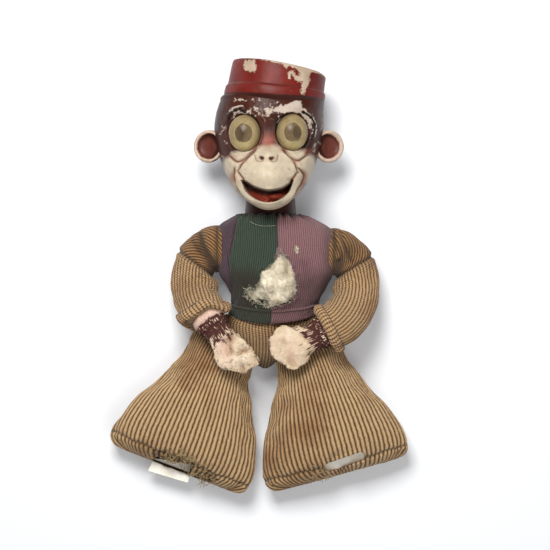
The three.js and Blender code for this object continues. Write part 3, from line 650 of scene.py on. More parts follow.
# %% Make the painted finishes
def flaking_paint(name, under, coats, ground, gloss, specks=0.0, rough_ground=0.08):
    """Enamel in coats of (attribute, colour, edge softness, raggedness), flaked off by "chip".

    The colours under the coats and of the ground are pairs of two shades.
    """
    material, tree, surface = new_finish(name)
    place = node(tree, "TexCoord").outputs["Object"]
    # Unevenness of the spray, about 12 mm, and of the flakes' edges, about 1.5 mm.
    cloud = node(tree, "TexNoise", {"Vector": place, "Scale": 80.0, "Detail": 5.0, "Roughness": 0.6})
    colour = node(
        tree, "ValToRGB", {"Fac": cloud.outputs["Fac"]}, stops=[(0.35, under[0]), (0.68, under[1])],
    ).outputs["Color"]
    ragged = node(tree, "TexNoise", {"Vector": place, "Scale": 650.0, "Detail": 6.0, "Roughness": 0.75})
    broad = node(tree, "TexNoise", {"Vector": place, "Scale": 260.0, "Detail": 3.0, "Roughness": 0.6})
    two_sizes = node(
        tree, "Math", {0: broad.outputs["Fac"], 1: 0.55, 2: ragged.outputs["Fac"]},
        operation="MULTIPLY_ADD",
    )
    tear = node(tree, "Math", {0: two_sizes.outputs[0], 1: 0.775}, operation="SUBTRACT")
    for attribute, paint, softness, edge in coats:
        amount = node(tree, "Attribute", attribute_name=attribute).outputs["Fac"]
        rough = node(tree, "Math", {0: tear.outputs[0], 1: edge, 2: amount}, operation="MULTIPLY_ADD")
        cover = node(
            tree, "MapRange", {"Value": rough.outputs[0], "From Min": -softness, "From Max": softness},
        )
        colour = node(
            tree, "Mix", {0: cover.outputs["Result"], 6: colour, 7: linear(paint)}, data_type="RGBA",
        ).outputs[2]
    # Grime settles in faint blotches over all the paint.
    grime = node(tree, "TexNoise", {"Vector": place, "Scale": 240.0, "Detail": 6.0, "Roughness": 0.7})
    dull = node(tree, "ValToRGB", {"Fac": grime.outputs["Fac"]}, stops=[(0.36, 0.86), (0.6, 1.0)])
    colour = node(
        tree, "Mix", {0: 1.0, 6: colour, 7: dull.outputs["Color"]}, data_type="RGBA", blend_type="MULTIPLY",
    ).outputs[2]
    chip = node(tree, "Attribute", attribute_name="chip").outputs["Fac"]
    fleck = node(tree, "Math", {0: tear.outputs[0], 1: 8.0, 2: chip}, operation="MULTIPLY_ADD")
    flaked = node(
        tree, "MapRange", {"Value": fleck.outputs[0], "From Min": -0.12, "From Max": 0.12},
    ).outputs["Result"]
    if specks:
        speckle = node(
            tree, "TexNoise", {"Vector": place, "Scale": 330.0, "Detail": 7.0, "Roughness": 0.85},
        )
        rubbed = node(tree, "Attribute", attribute_name="rubbed").outputs["Fac"]
        often = node(
            tree, "Math", {0: rubbed, 1: specks, 2: speckle.outputs["Fac"]}, operation="MULTIPLY_ADD",
        )
        spots = node(tree, "MapRange", {"Value": often.outputs[0], "From Min": 0.735, "From Max": 0.75})
        flaked = node(tree, "Math", {0: flaked, 1: spots.outputs["Result"]}, operation="MAXIMUM").outputs[0]
    bare = node(
        tree, "ValToRGB", {"Fac": cloud.outputs["Fac"]}, stops=[(0.35, ground[1]), (0.6, ground[0])],
    )
    colour = node(
        tree, "Mix", {0: flaked, 6: colour, 7: bare.outputs["Color"]}, data_type="RGBA",
    ).outputs[2]
    tree.links.new(colour, surface.inputs["Base Color"])
    finish = node(tree, "MapRange", {"Value": flaked, "To Min": gloss, "To Max": 0.85})
    smear = node(
        tree, "Math", {0: grime.outputs["Fac"], 1: 0.22, 2: finish.outputs["Result"]},
        operation="MULTIPLY_ADD",
    )
    tree.links.new(smear.outputs[0], surface.inputs["Roughness"])
    surface.inputs["Specular IOR Level"].default_value = 0.18
    step = node(tree, "Math", {0: flaked, 1: -0.6, 2: cloud.outputs["Fac"]}, operation="MULTIPLY_ADD")
    grain = node(
        tree, "Math", {0: grime.outputs["Fac"], 1: rough_ground, 2: step.outputs[0]},
        operation="MULTIPLY_ADD",
    )
    bump = node(tree, "Bump", {"Height": grain.outputs[0], "Strength": 0.5, "Distance": 0.0004})
    tree.links.new(bump.outputs["Normal"], surface.inputs["Normal"])
    return material


head_enamel = flaking_paint(
    "head_enamel", ("#31130A", "#461D10"),
    [
        ("ivory", "#C2B299", 1.6, 2.0), ("blush", "#8C4530", 1.0, 0.8), ("rosy", "#5E2F26", 1.6, 1.0),
        ("line", "#5E3322", 0.55, 0.5), ("black", "#120C0A", 0.35, 1.6), ("rim", "#D2B59E", 0.5, 1.4),
        ("throat", "#2E0E0B", 0.8, 0.6), ("tongue", "#7A2E1D", 0.9, 2.5),
    ],
    ("#B9AA9B", "#A89585"), 0.3, specks=0.2,
)
# The hat's "shade" coat is painted shade.
hat_enamel = flaking_paint(
    "hat_enamel", ("#5E160D", "#732118"),
    [("shade", "#5A221C", 1.0, 1.0), ("fur", "#42201A", 0.5, 1.2)],
    ("#BCA893", "#A7917B"), 0.34, specks=0.2,
)
# The hands' "shade" coat is painted shade in their hollows and crevices.
hand_composition = flaking_paint(
    "hand_composition", ("#D6BFA0", "#EBD9BF"),
    [("shade", "#9C7A5B", 1.6, 2.5), ("bloom", "#DDBBA8", 1.0, 1.0), ("paint", "#4B2925", 0.3, 3.0)],
    ("#E8DAC0", "#D9C0A6"), 0.75, rough_ground=0.12,
)
print("Paints:", head_enamel.name, hat_enamel.name, hand_composition.name)

# %% [markdown]
# ## Clouded eyes
# Each eye is a thin dome blown from clear celluloid film over a card disc, with a loose black disc
# between them. The film has yellowed and gone foggy, so it is drawn as a half see-through amber
# skin with a soft gloss: the pupil shows through it as a dim shape.

# %% Make the eye finishes
def clouded_film():
    material, tree, surface = new_finish("yellowed_celluloid")
    place = node(tree, "TexCoord").outputs["Object"]
    fog = node(tree, "TexNoise", {"Vector": place, "Scale": 130.0, "Detail": 4.0})
    tint = node(tree, "ValToRGB", {"Fac": fog.outputs["Fac"]}, stops=[(0.35, "#82694A"), (0.7, "#A08662")])
    # Painted light: low in the dome, where the light gathers, the film is coloured paler and yellower.
    height = node(tree, "SeparateXYZ", {"Vector": place})
    low = node(tree, "MapRange", {"Value": height.outputs["Y"], "From Min": 0.1015, "From Max": 0.0965})
    painted_light_low = node(
        tree, "Mix", {0: low.outputs["Result"], 6: tint.outputs["Color"], 7: linear("#BFA876")},
        data_type="RGBA",
    )
    tree.links.new(painted_light_low.outputs[2], surface.inputs["Base Color"])
    edge = node(tree, "LayerWeight", {"Blend": 0.35})
    haze = node(tree, "MapRange", {"Value": edge.outputs["Facing"], "To Min": 0.13, "To Max": 0.72})
    tree.links.new(haze.outputs["Result"], surface.inputs["Alpha"])
    surface.inputs["Roughness"].default_value = 0.2
    surface.inputs["IOR"].default_value = 1.5
    bump = node(tree, "Bump", {"Height": fog.outputs["Fac"], "Strength": 0.15, "Distance": 0.0003})
    tree.links.new(bump.outputs["Normal"], surface.inputs["Normal"])
    return material


yellowed_celluloid = clouded_film()
yellow_card = plain_fibre("yellow_card", "#B9AA7C", "#9A8B5F", 8.0, 0.2, 0.0002, 0.8)
# A darker brown for a round patch of the card under the pupil.
dark_patch_card = plain_fibre("dark_patch_card", "#6E5C43", "#4E4232", 4.0, 0.2, 0.0002, 0.8)
black_film = plain_fibre("black_film", "#1B1613", "#0D0B0A", 6.0, 0.2, 0.0001, 0.35)
print("Eyes:", yellowed_celluloid.name, yellow_card.name, black_film.name)

# %% [markdown]
# ## The floor and the light
# The doll was photographed on white paper under soft light from above its head, so its shadow is
# short and soft and falls towards its feet. The floor is near white and a little of its paleness
# is shown to the camera and to reflections alone, which leaves the shadow where it is.

# %% Lay the floor and hang the lamps
floor = started("paper_floor", bpy.ops.mesh.primitive_plane_add, size=4, location=(0, 0, -0.0006))
bpy.ops.object.mode_set(mode="EDIT")
bpy.ops.mesh.select_all(action="SELECT")
bpy.ops.mesh.subdivide(number_cuts=3)
bpy.ops.object.mode_set(mode="OBJECT")
bpy.ops.object.transform_apply(location=True, rotation=True, scale=True)
white_paper, paper_tree, paper_surface = new_finish("white_paper")
paper_surface.inputs["Base Color"].default_value = linear("#E9EAEC")
paper_surface.inputs["Roughness"].default_value = 1.0
paper_surface.inputs["Specular IOR Level"].default_value = 0.0
seen_by = node(paper_tree, "LightPath").outputs
rays = {0: seen_by["Is Camera Ray"], 1: seen_by["Is Glossy Ray"]}
eye_or_gloss = node(paper_tree, "Math", rays, operation="MAXIMUM").outputs[0]
rays = {0: eye_or_gloss, 1: seen_by["Is Transmission Ray"]}
any_view = node(paper_tree, "Math", rays, operation="MAXIMUM").outputs[0]
PALENESS = 0.08
paleness = node(paper_tree, "Math", {0: any_view, 1: PALENESS}, operation="MULTIPLY").outputs[0]
glow = node(paper_tree, "Emission", {"Color": (0.97, 0.98, 1.0, 1.0), "Strength": paleness})
both = node(paper_tree, "AddShader", {0: paper_surface.outputs[0], 1: glow.outputs[0]})
paper_tree.links.new(both.outputs[0], paper_tree.nodes["Material Output"].inputs["Surface"])
wear(floor, white_paper)
floor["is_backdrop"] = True

world = bpy.data.worlds.new("studio")
bpy.context.scene.world = world
world.use_nodes = True
sky = world.node_tree.nodes["Background"]
sky.inputs["Color"].default_value = (0.94, 0.97, 1.0, 1.0)
sky.inputs["Strength"].default_value = 0.25


def soft_lamp(name, place, size, power):
    """A square lamp that faces the middle of the doll."""
    bpy.ops.object.select_all(action="DESELECT")
    bpy.ops.object.light_add(type="AREA", location=place)
    lamp = bpy.context.object
    lamp.name = name
    lamp.data.shape = "SQUARE"
    lamp.data.size = size
    lamp.data.energy = power
    far = math.hypot(place[0], place[1])
    lamp.rotation_euler = (math.atan2(far, place[2]), 0, math.atan2(place[0], -place[1]))
    return lamp


key_lamp = soft_lamp("key_lamp", (-0.16, 0.5, 0.94), 0.42, 12.2)
fill_lamp = soft_lamp("fill_lamp", (0.35, -0.5, 1.05), 0.9, 4.4)
bpy.context.scene.view_settings.view_transform = "Standard"
print("Lamps:", key_lamp.data.energy, "W and", fill_lamp.data.energy, "W")

# %% [markdown]
# ## The bell-bottomed legs
# Each leg is a corduroy bag, sewn at both sides and along the hem, flat at the hip where it folds
# on the stuffed seat and widest at the hem. It is rolled from a grid, pushed out by a cloth
# simulation between its seams, and then given its wales as real ridges, because the light on them
# is what makes corduroy look like corduroy. The wales fan out from the hip to the hem.

# %% Draw the sections of a leg
HIP_MIDDLE_X, HIP_SPACING, HIP_Y, LEG_Z = -8.5, 63.0, -58.0, 20.7
LEG_LENGTH, HIP_FOLD = 110.0, 39.0
LEG_SPLAY = {"left": 21.0, "right": 15.3}
SIGN = {"left": -1, "right": 1}
CORDUROY_WALE = 3.6


def down_leg(side, share):
    """A place on the middle line of a leg, a share of the way from its hip to its hem."""
    turn = math.radians(LEG_SPLAY[side])
    across = SIGN[side] * (HIP_SPACING / 2 + math.sin(turn) * share * LEG_LENGTH)
    return HIP_MIDDLE_X + across, HIP_Y - math.cos(turn) * share * LEG_LENGTH, LEG_Z


def leg_rows(side):
    profile = [
        (-0.06, 27.5, 4.5, 1), (0, 29, 4.0, 1), (0.1, 29.4, 13.5, 0.75), (0.22, 30.55, 19, 0.3),
        (0.4, 39.5, 21.5, 0), (0.6, 50.7, 21.5, 0), (0.78, 57.8, 20.8, 0), (0.9, 60, 17.5, 0),
        (0.965, 58.5, 11.0, 0), (0.995, 56, 6.0, 0), (1.008, 52.5, 2.6, 0), (1.012, 49, 0.5, 0),
    ]
    splay = LEG_SPLAY[side]
    rows = [
        (*down_leg(side, share), half, depth, SIGN[side] * (splay + fold * (HIP_FOLD - splay)))
        for share, half, depth, fold in profile
    ]
    return rows, [[row[0]] for row in profile]


print("The left hem is centred at", [round(value, 1) for value in down_leg("left", 1)])


# %% Raise the wales of a cover and draw in its seams
def wales(ribs, height, power=0.75):
    """The height of the pile over its ground: round ridges with narrow grooves at whole numbers."""
    return height * (np.abs(np.sin(np.pi * ribs)) ** power - 0.6)


def read_cover(coarse, along, columns):
    """A fine skin read off the coarse one, and for each column its share from side seam to side seam.

    The share runs from 1 at the right seam over the front to -1 at the left seam, and back.
    """
    around = going_round(columns)
    skin = round_ring(smooth(coarse, along), np.tile(around, (len(along), 1)))
    return skin, around, np.where(around <= 0.5, 1 - 4 * around, -1 + 4 * (around - 0.5))


def on_the_floor(points):
    """No place is under the floor, and the last column lies on the first."""
    points[..., 2] = np.maximum(points[..., 2], 0.0)
    points[:, -1] = points[:, 0]
    return points


def ladder(count, seed):
    """Slow sideways wander of the wales, one value for each row."""
    rng = np.random.default_rng(seed)
    rows = np.linspace(0, 1, count)[:, None]
    return sum(rng.normal() * np.sin(rows * step * 3 + rng.uniform(0, 6)) for step in (1, 2, 3)) * 0.05


def make_leg(side):
    rows, shares = leg_rows(side)
    coarse = even_ring(rows, np.linspace(0, 1, 26), 52, 2.3)
    coarse = stuffed(side + "_leg", coarse, [0, 26], pressure=70, spare=0.022, cap=2.6)
    along = np.linspace(0, 1, 150)
    skin, around, half = read_cover(coarse, along, 560)
    front = around <= 0.5
    share = smooth(shares, along)
    half_count = 14.0 + 4.6 * np.clip(share, 0, 1) ** 0.8
    ribs = half * half_count + ladder(150, 3 if side == "left" else 5) * 4
    # The wales below the hem seam belong to the turned edge, and don't meet those above it.
    seam_share = 0.915 + 0.012 * np.sin(half * 2.6 + 0.6) + 0.006 * np.sin(half * 17)
    below = share > seam_share
    ribs = ribs + below * (0.45 + 0.3 * np.sin(half * 9))
    normal = outward(skin)
    to_side = (1 - np.abs(half))[None, :] * half_count * CORDUROY_WALE
    to_hem = (share - seam_share) * LEG_LENGTH
    fade = np.clip(to_side / 2.2, 0.15, 1) * np.clip(np.abs(to_hem) / 1.6, 0.1, 1)
    ends = np.clip((1.0 - share) / 0.012, 0.0, 1)
    pile = 0.95 * np.clip(half_count / 18.6, 0.5, 1)
    rise = wales(ribs, pile, 0.7) * fade * ends
    rise = rise - 1.0 * hump(to_side, 1.5) * ends
    rise = rise - 1.3 * hump(to_hem, 1.5) * front
    # The hem is gathered: short swells just above and below its seam.
    gather = np.sin(half * 23 + 2 * np.sin(half * 7)) * hump(to_hem, 7)
    rise = rise + 0.7 * gather * ends + 0.5 * ripple(skin, 24, 11 if side == "left" else 12)
    points = skin + normal * rise[..., None]
    # Dirt and painted shade darken the cloth along the side seams and the hem seam.
    soil_and_shade = 0.45 * hump(to_side, 2.0) + 0.5 * hump(to_hem, 1.1)
    return points, normal, ribs, distances(skin), np.clip(soil_and_shade, 0, 0.7)


leg_tables = {side: make_leg(side) for side in ("left", "right")}
print(
    "Each leg has", leg_tables["left"][0].shape[0], "rows of", leg_tables["left"][0].shape[1] - 1,
    "places",
)

# %% [markdown]
# ### Hems that have come apart
# The left hem has come unsewn over its card: the cloth there is thin, holed and dark. The right leg
# has a slit above its hem that shows the edge of its card. Both are pressed into the cloth before
# the grid is rolled, so that the card has a bed to lie in.

# %% Press the torn hem and the slit into the legs
LEFT_FRAY = [
    (150, 451), (166, 450), (182, 455), (196, 462), (214, 472), (222, 482), (204, 486), (192, 480),
    (170, 470), (152, 462),
]
CARD_BED = 16.6
CARD_SHOWS = [
    (154.5, 459.0), (164, 461.5), (172, 463.5), (181, 465), (190.6, 464.5), (188.6, 484), (168, 478),
    (148, 470.5),
]
SLIT_DEPTH = 7.5
SLIT_MIDDLE, SLIT_HALF, SLIT_TURN = np.array([345.0, 462.0]), (21.0, 4.2), math.radians(-18.5)


def slit_depth(photo):
    """How deep each pixel is inside the rounded slit of the right leg."""
    offset = photo - SLIT_MIDDLE
    along = offset[..., 0] * math.cos(SLIT_TURN) + offset[..., 1] * math.sin(SLIT_TURN)
    across = -offset[..., 0] * math.sin(SLIT_TURN) + offset[..., 1] * math.cos(SLIT_TURN)
    reach = np.maximum(np.abs(along) - (SLIT_HALF[0] - SLIT_HALF[1]), 0)
    return SLIT_HALF[1] - np.hypot(reach, across)


leg_pieces = {}
for side, (points, normal, ribs, lengths, soil_and_shade) in leg_tables.items():
    photo = in_photo(points)
    upper = normal[..., 2] > 0.05
    if side == "left":
        depth = inside_outline(photo, LEFT_FRAY)
        torn = np.clip(depth / 3 + 0.5 * ripple(points, 3.2, 4), 0, 1) * upper
        over_card = np.clip(inside_outline(photo, CARD_SHOWS) + 0.5, 0, 1) * upper
        points -= normal * (torn * 1.6)[..., None]
        points += normal * (0.9 * torn * ripple(points, 2.1, 6))[..., None]
        points[..., 2] = np.where(over_card > 0.5, np.minimum(points[..., 2], CARD_BED), points[..., 2])
        # Dirt and painted shade: the torn cloth is darkened in patches where it is holed, and the cloth
        # under the card is dark with painted shade.
        soil_and_shade = np.maximum(soil_and_shade, np.clip(torn * (0.25 + 0.85 * ripple(points, 2.4, 8)), 0, 0.95))
        soil_and_shade = np.maximum(soil_and_shade, 0.8 * over_card)
    else:
        depth = slit_depth(photo)
        bed = (depth > 0) & upper
        rim = points[(np.abs(depth + 1.5) < 1.0) & upper]
        # The plane z = a x + b y + c through the rim of the slit.
        slit_plane = np.linalg.lstsq(
            np.column_stack([rim[:, :2], np.ones(len(rim))]), rim[:, 2], rcond=None,
        )[0]
        floor_of_slit = points[..., :2] @ slit_plane[:2] + slit_plane[2] - SLIT_DEPTH
        points[..., 2] = np.where(bed, np.minimum(points[..., 2], floor_of_slit), points[..., 2])
        rim = hump(depth + 1.6, 1.1) * upper
        points += normal * (rim * 0.9)[..., None]
        # The bed of the slit is darkened with painted shade.
        soil_and_shade = np.maximum(soil_and_shade, bed * 0.85)
        print("The cloth round the slit slopes", np.round(slit_plane[:2], 2))
    piece = rolled(side + "_trouser_leg", on_the_floor(points), ribs, lengths)
    note_on(piece, "soil_and_shade", laid(piece, soil_and_shade))
    leg_pieces[side] = piece
    towards = np.array(down_leg(side, 0.12)) * MM
    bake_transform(piece)
    parts = [side + "_leg_" + part for part in ("front", "back", "wadding")]
    dress(piece, khaki_corduroy, nodes=parts)

# %% [markdown]
# ## The seat of the trousers
# The seat is a stuffed wedge between the legs. Its wales run straight down, so they are counted by
# the cloth's width and run out at the side seams. It is tucked inside the vest at the waist.

# %% Stuff and rib the seat
SEAT_ROWS = [
    (-1, -28.3, 21.5, 29.8, 18.6, 0), (-1.5, -33, 21.3, 30.6, 19.2, 0), (-5, -38, 21, 42.5, 19.4, 0),
    (-8.5, -44, 20.5, 47.5, 19.2, 0), (-8.5, -54, 20.5, 35.5, 17.7, 0), (-8.5, -64, 20.7, 23.2, 13.4, 0),
    (-8.5, -72, 20.7, 13.2, 8.4, 0), (-8.5, -77.5, 20.7, 6, 3.4, 0), (-8.5, -79.5, 20.7, 2, 1.2, 0),
]
SEAT_WALE = 2.6


def make_seat():
    coarse = even_ring(SEAT_ROWS, np.linspace(0, 1, 20), 48, 1.75)
    coarse = stuffed("seat", coarse, [0, 24], pressure=60, spare=0.015, cap=1.6)
    along = np.linspace(0, 1, 61)
    skin, around, half = read_cover(coarse, along, 400)
    girth = girths(skin)
    ribs = half * girth / 4 / SEAT_WALE + ladder(61, 9) * 3
    normal = outward(skin)
    to_side = (1 - np.abs(half))[None, :] * girth / 4
    rise = wales(ribs, 0.6, 0.7) * np.clip(to_side / 2, 0.1, 1) - 0.9 * hump(to_side, 1.5)
    rise = rise * np.clip((1 - along[:, None]) / 0.1, 0, 1)
    points = on_the_floor(skin + normal * rise[..., None])
    # Dirt and painted shade darken the side seams and the end between the legs, and the whole seat is a
    # little darker.
    soil_and_shade = 0.4 * hump(to_side, 2.5) + 0.5 * np.clip((-66 - points[..., 1]) / 10, 0, 1) + 0.2
    return points, ribs, distances(skin), np.clip(soil_and_shade, 0, 0.7)


seat_points, seat_ribs, seat_lengths, seat_soil_and_shade = make_seat()
trouser_seat = rolled("trouser_seat", seat_points, seat_ribs, seat_lengths)
note_on(trouser_seat, "soil_and_shade", laid(trouser_seat, seat_soil_and_shade))
seat_nodes = ("seat_front", "seat_back", "seat_wadding")
dress(trouser_seat, laddered_corduroy, "trunk", seat_nodes)

# %% [markdown]
# ## The sleeves
# Each arm is one stuffed roll of corduroy, bent round so that the hand rests on the belly. It is
# sewn from a short shoulder panel, whose wales run slantwise, and a long sleeve, whose wales run
# along it. The whole roll is pushed out by one cloth simulation, so that both panels meet on one
# skin, and the seam between them is drawn in by its stitches.

# %% Draw the sections of an arm
ARMHOLE_X, SLEEVE_HALF, SLEEVE_DEPTH, HAND_Z = 46.4, 17.4, 16.0, 51.0
PANEL_SHARE = 0.33
ARM_ROUTE = {
    "left": [(17, 0, 28, 90), (14.5, 9.4, 27.5, 112), (5, 16.8, 25, 145), (-9, 18.2, 25, 176),
             (-21, 15.8, 34, 192), (-32, 10.8, 46.8, 205)],
    "right": [(14.5, 0, 28, 90), (11.5, 9, 27.5, 64), (2, 16, 25, 30), (-12, 18, 25, 4),
              (-27, 14.8, 34, -22), (-40, 5.6, 46.8, -47)],
}
CUFF_MOUTH = {"left": (-51.0, -41.5, 50.5), "right": (38.4, -49.0, 50.5)}
HAND_TURN = {"left": 33.4, "right": -64.0}
SLEEVE_RIBS = 38
SLEEVE_COLUMNS = 360
# The top of the left cuff is drawn back and shows the flange of its hand.
DRAWN_BACK = {"left": 11.5, "right": 1.0}
GIRTHS = [(1.06, 1.04), (0.97, 1.02), (0.96, 1.01), (1.03, 1), (1.05, 0.95), (1.04, 0.85)]


def arm_rows(side):
    sign = SIGN[side]
    rows = [
        (sign * (ARMHOLE_X + 0.5 + out), y, z, SLEEVE_HALF * wide, SLEEVE_DEPTH * deep, turn)
        for (y, out, z, turn), (wide, deep) in zip(ARM_ROUTE[side], GIRTHS)
    ]
    outwards = HAND_TURN[side] if sign > 0 else 180 + HAND_TURN[side]
    return rows + [(*CUFF_MOUTH[side], SLEEVE_HALF, SLEEVE_DEPTH * 0.84, outwards)]


def pastcuff(side):
    """The direction that a hand points in, out of its cuff."""
    turn = math.radians(HAND_TURN[side] - 90)
    return np.array([math.cos(turn), math.sin(turn), 0.0])


def drawn_back(side, points):
    """How far the top of a cuff has slid back up its arm at each point."""
    out = pastcuff(side)
    outer_side = (points - np.array(CUFF_MOUTH[side])) @ np.array([out[1], -out[0], 0]) * -SIGN[side]
    higher = blend_in((0.85 * (points[..., 2] - CUFF_MOUTH[side][2]) + 0.5 * outer_side + 3) / 14)
    return DRAWN_BACK[side] * higher[..., None] * out


print("Left arm sections:", len(arm_rows("left")))

# %% [markdown]
# ### Wales along a bent sleeve
# On the long sleeve the wales are straight lines of the cloth, so they run from the seam to the
# cuff and crowd together on the inside of the elbow. The pile there has worn down to its cross
# threads, which show as a ladder. On the shoulder panel they wind slowly round the arm.

# %% Stuff each arm and cut it into its two panels
# Creases as (stroke, half width in pixels, depth share), and dark blots of painted shade in them as (x, y,
# wide, high, share).
CREASED_AT = {
    "left": [
        ([(199.5, 231), (202.5, 244), (208.8, 256), (215, 267), (217, 276)], 2.6, 1.0),
        ([(192, 240), (198, 250), (206, 258)], 2.2, 0.5),
    ],
    "right": [
        ([(333, 236), (337, 247), (342, 256), (340, 263)], 1.8, 0.7),
        ([(340, 231), (344, 243), (348, 254), (352, 262)], 2.0, 0.6),
        ([(338, 262), (340, 265)], 3.0, 0.7),
    ],
}
SHADE_BLOTS = {
    "left": [(199, 245, 6, 10, 0.35), (212, 266, 5, 8, 0.4)],
    "right": [(352, 248, 9, 12, 0.38), (338, 268, 4, 7, 0.4)],
}


def make_arm(side):
    sign = SIGN[side]
    rows = arm_rows(side)
    coarse = even_ring(rows, np.linspace(0, 1, 34), 40, 2.15)
    coarse = stuffed(side + "_arm", coarse, [], pressure=40, spare=0.02, cap=1.3)
    seams = {"panel": (-0.03, PANEL_SHARE), "sleeve": (PANEL_SHARE, 1.0)}
    made = {}
    for part, (start, end) in seams.items():
        count = 60 if part == "panel" else 132
        along = np.linspace(start, end, count)
        around = going_round(SLEEVE_COLUMNS)
        inner = smooth(coarse, np.clip(along, 0, 1))
        # The end that goes into the armhole carries on straight for four millimetres.
        tucked = np.clip(-along / 0.03, 0, 1)[:, None, None]
        inner = inner - tucked * np.array([sign * 4.2, 0, 0])
        skin = round_ring(inner, np.tile(around, (count, 1)))
        normal = outward(skin)
        lengths = distances(skin)
        total = lengths[-1:]
        if part == "panel":
            ribs = around[None, :] * 30 - sign * lengths / total * 11.0
        else:
            ribs = np.tile(around * SLEEVE_RIBS, (count, 1)) + 0.10 * np.sin(
                lengths / 9 + 6 * np.pi * around
            )
        from_seam = (total - lengths) if part == "panel" else lengths
        pinch = hump(from_seam, 2.0)
        fade = np.clip(from_seam / 1.5, 0.0, 1)
        pile = (0.6 if part == "panel" else 0.55) * np.clip(girths(skin) / 104, 0.6, 1.1)
        rise = wales(ribs, pile, 0.7) * fade - 1.4 * pinch + 0.45 * hump(from_seam - 3, 2)
        rise = rise + 0.45 * ripple(skin, 17, 21 + (sign > 0))
        # Folds where the arm bends at the armpit.
        middle = skin.mean(axis=1, keepdims=True)
        inner_side = ((skin - middle) * np.array([-sign, -0.35, 0.1])).sum(-1) / 17
        if part == "sleeve":
            folds = np.sin(lengths / 3.1 + 1.5 * np.sin(around * 9)) * np.clip(inner_side - 0.25, 0, 1)
            rise = rise + 1.0 * folds * hump(lengths - 14, 16)
        # Creases of the shoulder, where the cloth is pulled down into the armpit.
        pixels = in_photo(skin)
        upper = blend_in(normal[..., 2] / 0.35)
        creased = np.zeros(skin.shape[:2])
        for stroke, wide, deep in CREASED_AT[side]:
            creased += deep * hump(from_stroke(pixels, stroke)[0], wide) * upper
        points = skin + normal * (rise - 2.6 * creased)[..., None]
        # Dirt and painted shade darken the seam and the inner side towards the trunk; the creases and the
        # blots in them are painted shade.
        soil_and_shade = 0.55 * pinch + 0.25 * np.clip(inner_side - 0.5, 0, 1) + 0.75 * creased
        for x, y, wide, high, deep in SHADE_BLOTS[side]:
            soil_and_shade = soil_and_shade + deep * upper * spot(pixels, x, y, wide, high)
        # Painted shade also darkens the cover next to the armhole and along a fold down its middle.
        if part == "panel":
            middle_fold = hump(lengths - 0.55 * total, 4) * np.clip(inner_side + 0.4, 0, 1)
            soil_and_shade = soil_and_shade + 0.7 * hump(lengths - 4, 1.6) + 0.45 * middle_fold
        if part == "sleeve":
            points = (
                points - drawn_back(side, points) * np.clip(1 - (total - lengths) / 14, 0, 1)[..., None]
            )
        points[:, -1] = points[:, 0]
        made[part] = (points, ribs, lengths, np.clip(soil_and_shade, 0, 0.75))
    return coarse, made


SHOULDER_Z = 28.0
arm_skins = {}
for side in ("left", "right"):
    arm_skins[side], made = make_arm(side)
    pieces = {}
    for part, name in (("panel", "_shoulder_cover"), ("sleeve", "_long_sleeve")):
        points, ribs, lengths, soil_and_shade = made[part]
        pieces[part] = rolled(side + name, points, ribs, lengths)
        note_on(pieces[part], "soil_and_shade", laid(pieces[part], soil_and_shade))
    # Two places round the armhole, 11 mm apart, where the shoulder cover goes from the trunk to the arm.
    start, end = (
        tuple(np.array([SIGN[side] * (ARMHOLE_X + out), ARM_ROUTE[side][0][0], SHOULDER_Z]) * MM)
        for out in (-5, 6)
    )
    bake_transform(pieces["panel"])
    panel_nodes, sleeve_nodes = [side + "_shoulder_panel"], [side + "_sleeve", side + "_arm_wadding"]
    dress(pieces["panel"], worn_corduroy, None, panel_nodes)
    dress(pieces["sleeve"], laddered_corduroy, side + "_arm", sleeve_nodes)

# %% [markdown]
# ### Turned cuffs
# The end of a sleeve is folded outwards and back in, so it ends in a soft doubled roll. The roll is
# a strip of the same cloth carried once round the sleeve's mouth: it rises from the sleeve, goes
# over the fold and ends inside, where the hand's ring is tied in.

# %% Roll the cuffs
def make_cuff(side):
    skin = arm_skins[side]
    mouth = np.array(CUFF_MOUTH[side])
    out = pastcuff(side)
    around = going_round(SLEEVE_COLUMNS)
    profile = [(-8.4, 0.2), (-7.6, 2.0), (-5.8, 3.1), (-3.6, 3.35), (-1.8, 3.0), (-0.5, 2.1),
               (0.2, 0.5), (0.1, -0.6), (-0.9, -1.2), (-2.6, -1.5), (-4.6, -1.6)]
    profile = smooth(profile, np.linspace(0, 1, 49))
    rows = len(profile)
    last = smooth(skin, np.linspace(0.8, 1, 60))
    reach = (last.mean(axis=1) - mouth) @ out
    points = np.empty((rows, SLEEVE_COLUMNS + 1, 3))
    for row, (back, proud) in enumerate(profile):
        share = np.interp(min(back, 0), reach, np.linspace(0.8, 1, 60))
        ring = round_ring(smooth(skin, [share]), around[None, :])[0]
        middle = ring[:-1].mean(axis=0)
        away = ring - middle
        away -= np.outer(away @ out, out)
        size = np.linalg.norm(away, axis=1, keepdims=True)
        points[row] = middle + away * (1 + proud / size) + out * max(back, 0)
    ribs = np.tile(around * SLEEVE_RIBS, (rows, 1))
    lengths = distances(points)
    normal = outward(points)
    half_way = lengths / lengths[-1]
    fade = np.clip(half_way / 0.06, 0, 1) * np.clip((1 - half_way) / 0.1, 0, 1)
    swell = 0.45 * ripple(points, 9, 31 + (SIGN[side] > 0)) + 0.3 * np.sin(around * 2 * np.pi * 7 + 1)
    rise = wales(ribs, 0.5, 0.7) * fade + swell * fade
    points = points + normal * rise[..., None]
    points = points - drawn_back(side, points)
    points[:, -1] = points[:, 0]
    # Painted shade: a dark line where the cuff leaves the sleeve, and shadow over the part turned in under
    # the fold.
    soil_and_shade = 0.9 * hump(lengths, 2.0) + 0.7 * np.clip((half_way - 0.62) / 0.2, 0, 1)
    return points, ribs, lengths, np.clip(soil_and_shade, 0, 0.8)


